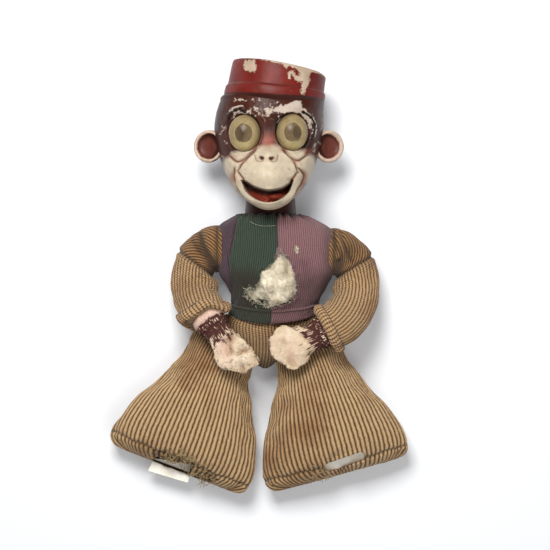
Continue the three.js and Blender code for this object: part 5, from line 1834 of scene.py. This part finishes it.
def soft_limit(x, limit, softness=1.5):
    """Keeps x within a limit either way, rounded off over the last millimetres."""
    over = np.abs(x) - (limit - softness)
    return np.where(over > 0, np.sign(x) * (limit - softness + softness * np.tanh(over / softness)), x)


vest_ring = even_ring(VEST_ROWS, np.linspace(0, 1, 28), 64, 2.25)
vest_ring[..., 0] = soft_limit(vest_ring[..., 0], ARMHOLE_LIMIT)
vest_skin = stuffed("vest", vest_ring, [], pressure=50, spare=0.012, cap=1.1)
vest_skin[..., 0] = soft_limit(vest_skin[..., 0], ARMHOLE_LIMIT)
vest_skin[..., 2] = np.maximum(vest_skin[..., 2], 0.0)
vest_heights = smooth(vest_skin, np.linspace(0, 1, 200)).mean(axis=1)[:, 1]
print("The trunk is", round(float(np.ptp(vest_skin[..., 0])), 1), "mm wide")


def hem_height(x):
    """The hem of the vest dips in the middle of the belly."""
    return -42.9 + 9.8 * np.clip(np.abs(x + 3) / 47, 0, 1) ** 2


def smooth_each(table, along):
    """Reads each column of a table of points at its own shares of its length."""
    last = table.shape[0] - 1
    place = np.clip(along, 0, 1) * last
    first = np.minimum(place.astype(int), last - 1)
    weight = (place - first)[..., None]
    column = np.arange(table.shape[1])[None, :]
    padded = np.concatenate([2 * table[:1] - table[1:2], table, 2 * table[-1:] - table[-2:-1]])
    return curved([padded[first + step, column] for step in range(4)], weight)


def on_vest(around, share_up):
    """Places on the vest: round it from the right side over the front, and up from hem to collar."""
    top = vest_heights[-1]
    first = round_ring(smooth(vest_skin, np.full(len(share_up), 0.1)), np.tile(around, (len(share_up), 1)))
    hem = hem_height(first[..., 0])
    height = hem + (top - hem) * share_up[:, None]
    along = np.interp(height, vest_heights, np.linspace(0, 1, 200))
    count = vest_skin.shape[1]
    place = (around % 1.0) * count
    start = place.astype(int)
    weight = (place - start)[None, :, None]
    columns = [smooth_each(vest_skin[:, (start + step) % count], along) for step in (-1, 0, 1, 2)]
    return curved(columns, weight)


# %% Find where the seams run round the trunk
def seam_share(target_x, share_up):
    """How far round the front each row of the vest reaches the seam's x."""
    around = np.linspace(0.0, 0.5, 241)
    table = on_vest(around, share_up)
    gaps = target_x(table[..., 1]) - table[..., 0]
    return np.array([np.interp(0, gap, around) for gap in gaps])


def centre_seam_x(y):
    return np.interp(y, [-42, -29, 18.7, 40.6, 44], [-4.2, -3.7, 1.97, 0.86, 0.8])


def side_seam_x(y):
    return np.interp(y, [-43, -2, 9, 39], [-33.5, -36.5, -37, -31])


UP = np.linspace(0, 1, 200)
centre_share = seam_share(centre_seam_x, UP)
side_share = np.minimum(seam_share(side_seam_x, UP), 0.475)
print("Seams at", [round(float(share[100]), 3) for share in (centre_share, side_share)], "of the way round")

# %% [markdown]
# ### The tear
# The vest has worn through over the belly, beside its centre seam. The hole's edge is ragged: it is
# cut where an outline read off the photograph lies, roughened, and the cloth round it lifts and
# curls over the wadding that pushes out.

# %% Cut and sew the panels
TEAR = [
    (281.3, 251.9), (274.6, 256.7), (271.8, 262.4), (261.2, 270.1), (258.9, 277.7), (253.6, 288.3),
    (245.9, 294.0), (259.3, 303.6), (270.8, 306.4), (286.1, 304.5), (295.7, 296.9), (296.7, 289.2),
    (294.7, 272.0), (291.9, 263.3), (285.2, 254.8),
]


def cut_away(piece, gone):
    """Deletes the faces whose corners have all gone."""
    mesh = piece.data
    pick(piece)
    bpy.ops.object.mode_set(mode="EDIT")
    bpy.ops.mesh.select_all(action="DESELECT")
    bpy.ops.object.mode_set(mode="OBJECT")
    mesh.vertices.foreach_set("select", gone)
    picked = [bool(gone[list(face.vertices)].all()) for face in mesh.polygons]
    mesh.polygons.foreach_set("select", picked)
    bpy.ops.object.mode_set(mode="EDIT")
    bpy.context.tool_settings.mesh_select_mode = (False, False, True)
    bpy.ops.mesh.delete(type="FACE")
    bpy.context.tool_settings.mesh_select_mode = (True, False, False)
    bpy.ops.object.mode_set(mode="OBJECT")


TRUNK_MIDDLE = np.array([0, 0, 28])


def away_from(normal, points, middle):
    """The directions, all turned round if they mostly look towards the middle."""
    return normal * np.sign((normal * (points - middle)).sum(-1).mean())


def vest_panel(name, first_seam, last_seam, columns, ribs_from, darkening=None):
    """A panel between two seams, given as shares round the trunk for each row."""
    fraction = np.linspace(0, 1, columns + 1)[None, :]
    shares = first_seam[:, None] * (1 - fraction) + last_seam[:, None] * fraction
    # Each column of the panel is read at its own share in each row.
    points = np.empty((len(UP), columns + 1, 3))
    around = np.linspace(0, 1, 513)
    table = on_vest(around, UP)
    for row, axis in np.ndindex(len(UP), 3):
        points[row, :, axis] = np.interp(shares[row], around, table[row, :, axis])
    across = along_rows(points)
    across = across - across[:, -1:] * {"start": 0, "middle": 0.5, "end": 1}[ribs_from]
    ribs = across / NEEDLECORD_WALE
    normal = away_from(outward(points), points, TRUNK_MIDDLE)
    lengths = distances(points)
    from_edge = np.minimum(across - across[:, :1], across[:, -1:] - across)
    rise = wales(ribs, 0.17, 0.8) * np.clip(from_edge, 0, 1)
    rise = rise - 0.7 * hump(from_edge, 0.9) + 0.35 * hump(from_edge - 2.2, 1.2)
    # The collar is drawn in over the neck by its tie, in small pleats.
    from_collar = (1 - UP)[:, None] * VEST_HEIGHT
    turn = np.arctan2(points[..., 2] - 31, points[..., 0] + 4)
    pleat = np.sin(turn * 21 + 1.4 * np.sin(turn * 5)) * hump(from_collar, 6.5)
    rise = rise + 0.85 * pleat + 0.35 * ripple(points, 30, 81) + 0.15 * ripple(points, 9, 82)
    photo = in_photo(points)
    hole = inside_outline(photo, curve(TEAR + TEAR[:1], 90)[:-1]) * CHEST_PIXEL
    hole = np.where(
        points[..., 2] > 30, hole + 0.55 * ripple(points, 3.5, 83) + 0.3 * ripple(points, 1.5, 84), -50,
    )
    lift = hump(np.minimum(hole, 0), 2.6)
    rise = rise + lift * (0.9 + 0.9 * ripple(points, 7, 85))
    points = points + normal * rise[..., None]
    points[..., 2] = np.maximum(points[..., 2], 0.0)
    # Dirt and painted shade darken the seams, the collar and the hollows of the pleats.
    soil_and_shade = 0.55 * hump(from_edge, 0.8) + 0.5 * hump(from_collar, 2.4) + 0.35 * np.clip(-pleat, 0, 1)
    if darkening:
        soil_and_shade = soil_and_shade + darkening(photo[..., 0], photo[..., 1])
    piece = rolled(name, points, ribs, lengths, closed=False)
    note_on(piece, "soil_and_shade", laid(piece, np.clip(soil_and_shade, 0, 0.85)))
    cut_away(piece, laid(piece, hole) > 0)
    face_away(piece, TRUNK_MIDDLE)
    modified(piece, "SOLIDIFY", thickness=0.9 * MM, offset=-1)
    bpy.ops.object.shade_smooth()
    return piece


def greens_darkening(x, y):
    """The green darkens towards the belly, and more so on its left side."""
    return 0.75 * blend_in((y - 258) / 30) + 0.3 * blend_in((268 - x) / 40) * blend_in((y - 258) / 24)


# The mauve darkens towards its right side and towards the waist.
def mauves_darkening(x, y):
    return 0.45 * blend_in((x - 318) / 14) + 0.4 * blend_in((y - 262) / 30)


right_side, round_again = np.zeros(len(UP)), np.ones(len(UP))
mauve_front = vest_panel("vest_mauve_panel", right_side, centre_share, 190, "end", mauves_darkening)
green_front = vest_panel("vest_green_panel", centre_share, side_share, 130, "start", greens_darkening)
plum_back = vest_panel("vest_plum_back", side_share, round_again, 300, "middle")
dress(mauve_front, mauve_needlecord, "trunk", ["vest_front_mauve"])
dress(green_front, green_needlecord, "trunk", ["vest_front_green"])
dress(plum_back, plum_needlecord, "trunk", ["vest_back"])

# %% [markdown]
# ### The waistband
# A doubled strip of the same needlecord is sewn over the hem of the vest, green on the left and
# mauve on the right. It stands a little proud, and its top edge is a turned and stitched ridge.

# %% Sew on the waistband
BAND_HEIGHT = 11.2
BAND_MIDDLE = np.array([0, 0, 26])
BAND_STEPS = [0, 0.5, 1.4, 3, 8.6, 9.3, 10.2, 10.9, BAND_HEIGHT]
BAND_PROUD = [0.1, 1.1, 1.7, 1.75, 1.7, 1.1, 1.9, 1.5, 0.1]


def waistband(name, start, end, darker):
    around = np.linspace(start, end, 211)
    height = np.linspace(0, BAND_HEIGHT, 44)[:, None]
    skin = on_vest(around, height[:, 0] / VEST_HEIGHT)
    across = along_rows(skin)
    normal = away_from(outward(skin), skin, BAND_MIDDLE)
    ribs = across / NEEDLECORD_WALE + 0.08 * np.sin(height * 1.3)
    # Proud of the vest, turned in at both long edges, with a stitched line under the top ridge.
    proud = np.interp(height, BAND_STEPS, BAND_PROUD)
    ends = np.clip(np.minimum(across, across[:, -1:] - across) / 0.8, 0, 1)
    stitch = 0.25 * np.sin(across * 2 * np.pi / 2.6) * hump(height - 9.3, 0.5)
    rise = (proud + wales(ribs, 0.28, 0.8)) * ends + stitch + 0.25 * ripple(skin, 12, 91)
    points = skin + normal * rise[..., None]
    # Dirt and painted shade darken the cloth under the top ridge, along the lower edge and at the ends, and
    # the whole band is made darker by a set amount.
    soil_and_shade = 0.5 * hump(height - 9.2, 0.6) + 0.6 * hump(height, 0.8) + 0.4 * (1 - ends) + darker
    piece = rolled(name, points, ribs, distances(points), closed=False)
    note_on(piece, "soil_and_shade", laid(piece, np.clip(soil_and_shade, 0, 0.8)))
    face_away(piece, BAND_MIDDLE)
    modified(piece, "SOLIDIFY", thickness=1.0 * MM, offset=-1)
    bpy.ops.object.shade_smooth()
    return piece


hem_centre = float(centre_share[6])
mauve_band = waistband("mauve_waistband", -0.02, hem_centre - 0.001, 0.28)
green_band = waistband("green_waistband", hem_centre + 0.001, 0.52, 0.45)
dress(mauve_band, mauve_needlecord, "trunk", ["waistband_mauve"])
dress(green_band, green_needlecord, "trunk", ["waistband_green"])

# %% [markdown]
# ## The wadding
# The trunk is packed with cotton wadding. Where the vest is torn it has worked its way out in soft
# lumps. The packing is a plain form; the tuft is a sphere pressed into lumps, and a remesh makes one
# mass of both. Loose fibres stand off it as fine strands.

# %% Pack the trunk and raise the tuft
# The packing lies a little inside the cloth and stops short of the armholes.
UNDER_CLOTH = np.array([0, 0, 0, 1.9, 1.9, 0])
PACKING_LIMIT = 44.5
packing_ring = even_ring(VEST_ROWS[2:-2] - UNDER_CLOTH, np.linspace(0, 1, 30), 96, 2.25, 1.8)
packing_ring[..., 0] = np.clip(packing_ring[..., 0], -PACKING_LIMIT, PACKING_LIMIT)
packing = rolled("cotton_packing", np.concatenate([packing_ring, packing_ring[:, :1]], axis=1))
add_sphere = bpy.ops.mesh.primitive_uv_sphere_add
tuft = started("cotton_tuft", add_sphere, segments=64, ring_count=40, radius=1 * MM)
write_points(tuft, read_points(tuft.data) * (14.2, 19.5, 12.6) + (0.5, -9.2, 46.5))
pick(packing, tuft)
bpy.ops.object.join()
modified(packing, "REMESH", mode="VOXEL", voxel_size=0.85 * MM)
bpy.ops.object.shade_smooth()
packing_points = read_points(packing.data)
packing_normal = directions(packing)
packing_photo = in_photo(packing_points)
outside_tear = np.clip(-inside_outline(packing_photo, TEAR), 0, None)
near_tear = hump(outside_tear, 2.0) * (packing_points[:, 2] > 35)
LUMPS = [
    (280.0, 264.0, 6.5, 9.0, 2.6), (262.5, 275.5, 6.0, 5.0, 1.8), (285.5, 284.0, 6.5, 5.5, 1.6),
    (268.0, 288.5, 8.0, 6.5, 2.0), (289.0, 293.0, 6.5, 6.5, 2.2), (277.0, 299.0, 9.0, 5.0, 1.9),
    (257.0, 294.0, 6.0, 4.0, 0.8), (293.5, 277.0, 3.5, 6.0, 1.0),
]
lumps = sum(
    1.5 * height * np.exp(
        -np.hypot((packing_photo[:, 0] - x) / wide, (packing_photo[:, 1] - y) / high) ** 2.6
    )
    for x, y, wide, high, height in LUMPS
)
creases = 1.6 * np.abs(ripple(packing_points, 11, 92)) ** 0.7
fluff = 0.35 * ripple(packing_points, 5, 93) + 0.16 * ripple(packing_points, 2.4, 94)
packing_points += packing_normal * (near_tear * (lumps - 1.2 + creases - 0.7 + fluff))[:, None]
write_points(packing, packing_points)
dress(packing, cotton_wadding, "trunk", ["torso_wadding"])
print("The tuft stands", round(float(packing_points[:, 2].max()), 1), "mm high")


# %% Draw fine threads
def threads(name, paths, thickness, material, body="trunk"):
    """Fine threads along 3D paths in millimetres, as one mesh that rides on a body."""
    line = bpy.data.curves.new(name, "CURVE")
    line.dimensions = "3D"
    line.bevel_depth = thickness / 2 * MM
    line.bevel_resolution = 0
    line.resolution_u = 2
    for path in paths:
        spline = line.splines.new("POLY")
        spline.points.add(len(path) - 1)
        for point, (x, y, z) in zip(spline.points, path):
            point.co = (x * MM, y * MM, z * MM, 1)
    made = bpy.data.objects.new(name, line)
    bpy.context.scene.collection.objects.link(made)
    pick(made)
    bpy.ops.object.convert(target="MESH")
    dress(made, material, body)


def surface_z(points, pixels, reach=1.2):
    """The height of a set of surface points at places of the photograph."""
    photo = in_photo(points)
    heights = np.empty(len(pixels))
    for index, pixel in enumerate(pixels):
        near = np.hypot(*(photo - pixel).T) < reach
        heights[index] = points[near, 2].max() if near.any() else np.nan
    return heights


def from_photo(pixels, z):
    """Places at a height that land on pixels of the photograph."""
    pixels = np.asarray(pixels, float)
    z = np.broadcast_to(np.asarray(z, float), pixels.shape[:-1])
    scale = PIXEL * (1 - z / CAMERA[2])
    x = CAMERA[0] + (pixels[..., 0] - 275) * scale
    y = CAMERA[1] - (pixels[..., 1] - 275) * scale
    return np.stack([x, y, z], -1)


# %% Pull wisps out of the tuft
rng = np.random.default_rng(95)
tuft_top = packing_points[(packing_points[:, 2] > 48) & (near_tear > 0.5)]
starts = tuft_top[rng.choice(len(tuft_top), 340, replace=False)]
wisps = []
for start in starts:
    heading = rng.uniform(0, 2 * np.pi)
    length = rng.uniform(2.0, 6.5)
    curl = rng.normal() * 0.5
    path, place = [], start.copy()
    for step in range(7):
        path.append(place + (0, 0, 0.15 + 0.9 * math.sin(step / 6 * np.pi)))
        heading += curl
        place = place + np.array([math.cos(heading), math.sin(heading), 0]) * length / 6
    wisps.append(path)
threads("cotton_wisps", wisps, 0.16, cotton_fibre)

# %% [markdown]
# ## Clouded eyes with loose pupils
# Each eye is a thin oval dome over a card plate, with a loose black disc between them that has
# tipped and slid to one side. The dome is turned with its wall, so that light passes through film
# and not through a solid lump.

# %% Set the eyes
def half_dome(radius, height, steps=14):
    """The outline of a dome from its rim to a tiny hole at its top."""
    outline = []
    for step in range(steps + 1):
        angle = step / steps * math.pi / 2
        outline.append((max(radius * math.cos(angle), 0.05), height * math.sin(angle)))
    return outline


DISC_PROFILE = [
    (0.5, 0.3), (6, 0.3), (11.9, 0.3), (12.25, 0.6), (12.25, 1.0), (11.9, 1.3), (6.8, 1.32), (6.2, 1.2),
    (0.5, 1.2),
]
PUPIL_PROFILE = [(0.3, -0.4), (4.6, -0.4), (4.95, -0.25), (5.0, 0), (4.95, 0.25), (4.6, 0.4), (0.3, 0.4)]
OVAL = np.diag([1, 14.3 / 12.3, 1])
PUPIL_TIP = 45
for side, sign in SIGN.items():
    seat = turn_matrix(0, sign * EYE_TILT, 0)
    dome = turned(side + "_celluloid_dome", half_dome(11.5, 9.1)[::-1] + half_dome(12.3, 9.9), 96)
    put(dome, seat @ OVAL, np.array(EYES[side]) + seat @ (0, 0, 1.6))
    dress(dome, yellowed_celluloid, "head", [side + "_eye_dome"])
    plate = turned(side + "_card_disc", DISC_PROFILE, 96)
    put(plate, seat @ OVAL, EYES[side])
    dress(plate, yellow_card, "head", [side + "_eye_plate"])
    # The card is darker in a round patch under the pupil.
    plate.data.materials.append(dark_patch_card)
    patch = (EYES[side][0] + sign * 1.6, EYES[side][1] + 0.4)
    for face in plate.data.polygons:
        x, y, _ = face.center / MM
        face.material_index = int(math.hypot(x - patch[0], (y - patch[1]) * 0.85) < 6.2)
    disc = turned(side + "_loose_pupil", PUPIL_PROFILE, 64)
    lie = turn_matrix(0, sign * PUPIL_TIP, 0)
    raised = 1.9 + 5 * math.sin(math.radians(PUPIL_TIP))
    put(disc, seat @ lie, np.array(EYES[side]) + seat @ (sign * 3.6, 0, raised))
    dress(disc, black_film, side + "_pupil", [side + "_eye_pupil"])

# %% [markdown]
# ## Cards in the hems
# A stiff card keeps each bell open. The left one has slipped out of its hem: a worn piece of pulp
# board with rounded, bruised corners. The right one stands on edge behind the slit.

# %% Cut the cards
CARD_THICKNESS = 1.6


def card(name, outline):
    """A card cut to an outline in millimetres, with bruised edges, lying on z = 0."""
    corners = np.array(list(outline) + [outline[0]], float)
    shares = np.linspace(0.04, 0.96, 12)[:, None]
    ring = np.concatenate([start + (end - start) * shares for start, end in zip(corners, corners[1:])])
    piece = cut_out(name, ring, -CARD_THICKNESS / 2, CARD_THICKNESS, 0.35)
    bpy.ops.object.shade_smooth_by_angle(angle=math.radians(40))
    return piece


LEFT_CARD_Z = 18.6
slipped = from_photo([(154.4, 458.4), (191.0, 463.2), (188.2, 482.8), (147.8, 470.6)], LEFT_CARD_Z)
left_card = card("left_slipped_card", slipped[:, :2])
put(left_card, np.eye(3), (0, 0, LEFT_CARD_Z))
dress(left_card, grey_pulp_card, "left_leg", ["left_hem_card"])
right_card = card("right_standing_card", [(-18.3, -6.8), (-18.3, 6.6), (18.2, 6.8), (18.4, -6.8)])
# It lies along the slit, parallel to the cloth round it and a little below.
along_slit = np.array([math.cos(SLIT_TURN), -math.sin(SLIT_TURN), 0.0])
along_slit[2] = along_slit[:2] @ slit_plane[:2]
along_slit /= np.linalg.norm(along_slit)
card_face = np.array([-slit_plane[0], -slit_plane[1], 1.0])
card_face /= np.linalg.norm(card_face)
card_x, card_y = from_photo([SLIT_MIDDLE], 33.0)[0, :2]
card_z = float(np.array([card_x, card_y, 1.0]) @ slit_plane) - 3.4
card_turn = np.column_stack([along_slit, np.cross(card_face, along_slit), card_face])
put(right_card, card_turn, (card_x, card_y, card_z))
dress(right_card, grey_pulp_card, "right_leg", ["right_hem_card"])
wear(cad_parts["neck_tie"], waxed_twine)

# %% [markdown]
# ## Threads
# Where the cloth has torn, its own threads stand loose: short and springy round the tear, and in
# tangled loops where the left hem has come unsewn. A pale tacking thread still runs under the collar.

# %% Lay loose threads over the torn edges
vest_surface = [read_points(piece.data) for piece in (mauve_front, green_front, plum_back)]
vest_surface = np.concatenate([*vest_surface, packing_points])
OVER_TABLE = 40


def springy(pixels, heights, reach, lift, seed, turns=0.9, steps=8):
    """Short curled paths that start at places of the photograph."""
    rng = np.random.default_rng(seed)
    paths = []
    for start in from_photo(pixels, heights):
        towards = rng.uniform(0, 2 * np.pi)
        length = rng.uniform(*reach)
        curl = rng.normal() * turns
        place, path = start.copy(), []
        for step in range(steps):
            path.append(place + (0, 0, lift * math.sin(step / (steps - 1) * np.pi) + 0.15))
            towards += curl / steps * 3
            place = place + np.array([math.cos(towards), math.sin(towards), 0]) * length / steps
        paths.append(path)
    return paths


def scattered(outline, count, wander, seed):
    """Places along a closed outline of the photograph, scattered to both sides of it."""
    rng = np.random.default_rng(seed)
    ring = smooth(list(outline) + [outline[0]], rng.uniform(0, 1, count))
    return ring + rng.normal(size=ring.shape) * wander


def resting(surface, places, above):
    """The places that have some of the surface under them, higher than a limit, and its heights."""
    heights = surface_z(surface, places)
    usable = np.isfinite(heights) & (np.nan_to_num(heights) > above)
    return places[usable], heights[usable]


tear_places, tear_heights = resting(vest_surface, scattered(TEAR, 260, 1.1, 101), OVER_TABLE)
right_of = tear_places[:, 0] > np.interp(tear_places[:, 1], [250, 300], [276, 268])
mauve_paths = springy(tear_places[right_of], tear_heights[right_of], (1.2, 3.6), 0.45, 102)
green_paths = springy(tear_places[~right_of], tear_heights[~right_of], (1.2, 3.6), 0.45, 102)
threads("mauve_tear_threads", mauve_paths, 0.2, mauve_thread)
threads("green_tear_threads", green_paths, 0.2, green_thread)
pale_places = np.concatenate([
    scattered([(247, 294), (252, 298), (262, 303), (272, 305), (262, 300), (250, 291)], 240, 1.6, 103),
    scattered([(278, 252), (281, 258), (287, 262), (284, 254)], 60, 1.2, 104),
])
pale = springy(*resting(vest_surface, pale_places, OVER_TABLE), (1.5, 5.0), 0.5, 106)
spot_places = scattered([(296.2, 246.4), (297.8, 248.5), (297.4, 252.6), (296.0, 250.0)], 110, 0.35, 105)
pale += springy(spot_places, surface_z(vest_surface, spot_places), (0.6, 1.8), 0.35, 111)
collar_line = smooth([(249.8, 221.3), (256, 224.5), (265, 226.0), (275.6, 225.6)], np.linspace(0, 1, 40))
collar_line_z = surface_z(vest_surface, collar_line) + 0.15
if np.isfinite(collar_line_z).all():
    pale.append(list(from_photo(collar_line, collar_line_z)))
threads("loose_cotton_threads", pale, 0.14, cotton_fibre)
LEFT_HEM = [(168, 452), (184, 455), (197, 463), (213, 474), (206, 482), (194, 476), (182, 466), (170, 458)]
RIGHT_SLIT = [(318, 470), (326, 469), (330, 474), (320, 478), (312, 477)]
for side, outline, count, wander, seed, reach, lift, turns, steps, thickness in (
    ("left", LEFT_HEM, 120, 2.4, 107, (3.0, 9.0), 1.3, 2.2, 12, 0.42),
    ("right", RIGHT_SLIT, 46, 2.0, 109, (2.0, 6.0), 0.7, 1.6, 10, 0.35),
):
    leg_surface = read_points(leg_pieces[side].data)
    places, heights = resting(leg_surface, scattered(outline, count, wander, seed), -np.inf)
    paths = springy(places, heights, reach, lift, seed + 1, turns, steps)
    threads(side + "_hem_threads", paths, thickness, khaki_thread, side + "_leg")

# %% [markdown]
# ## Compare with the imported model
# The dressed doll's box is measured against the imported model's, and how far
# each of its sides lies from the model's is printed. The dressed doll has to stay inside the
# imported model's box, give or take what cloth may stand proud.

# %% Measure both boxes and print how they differ
dressed_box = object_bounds()
for axis in range(3):
    low = (dressed_box[0][axis] - cad_box[0][axis]) / MM
    high = (dressed_box[1][axis] - cad_box[1][axis]) / MM
    print("xyz"[axis], "low side", round(low, 1), "mm, high side", round(high, 1), "mm")
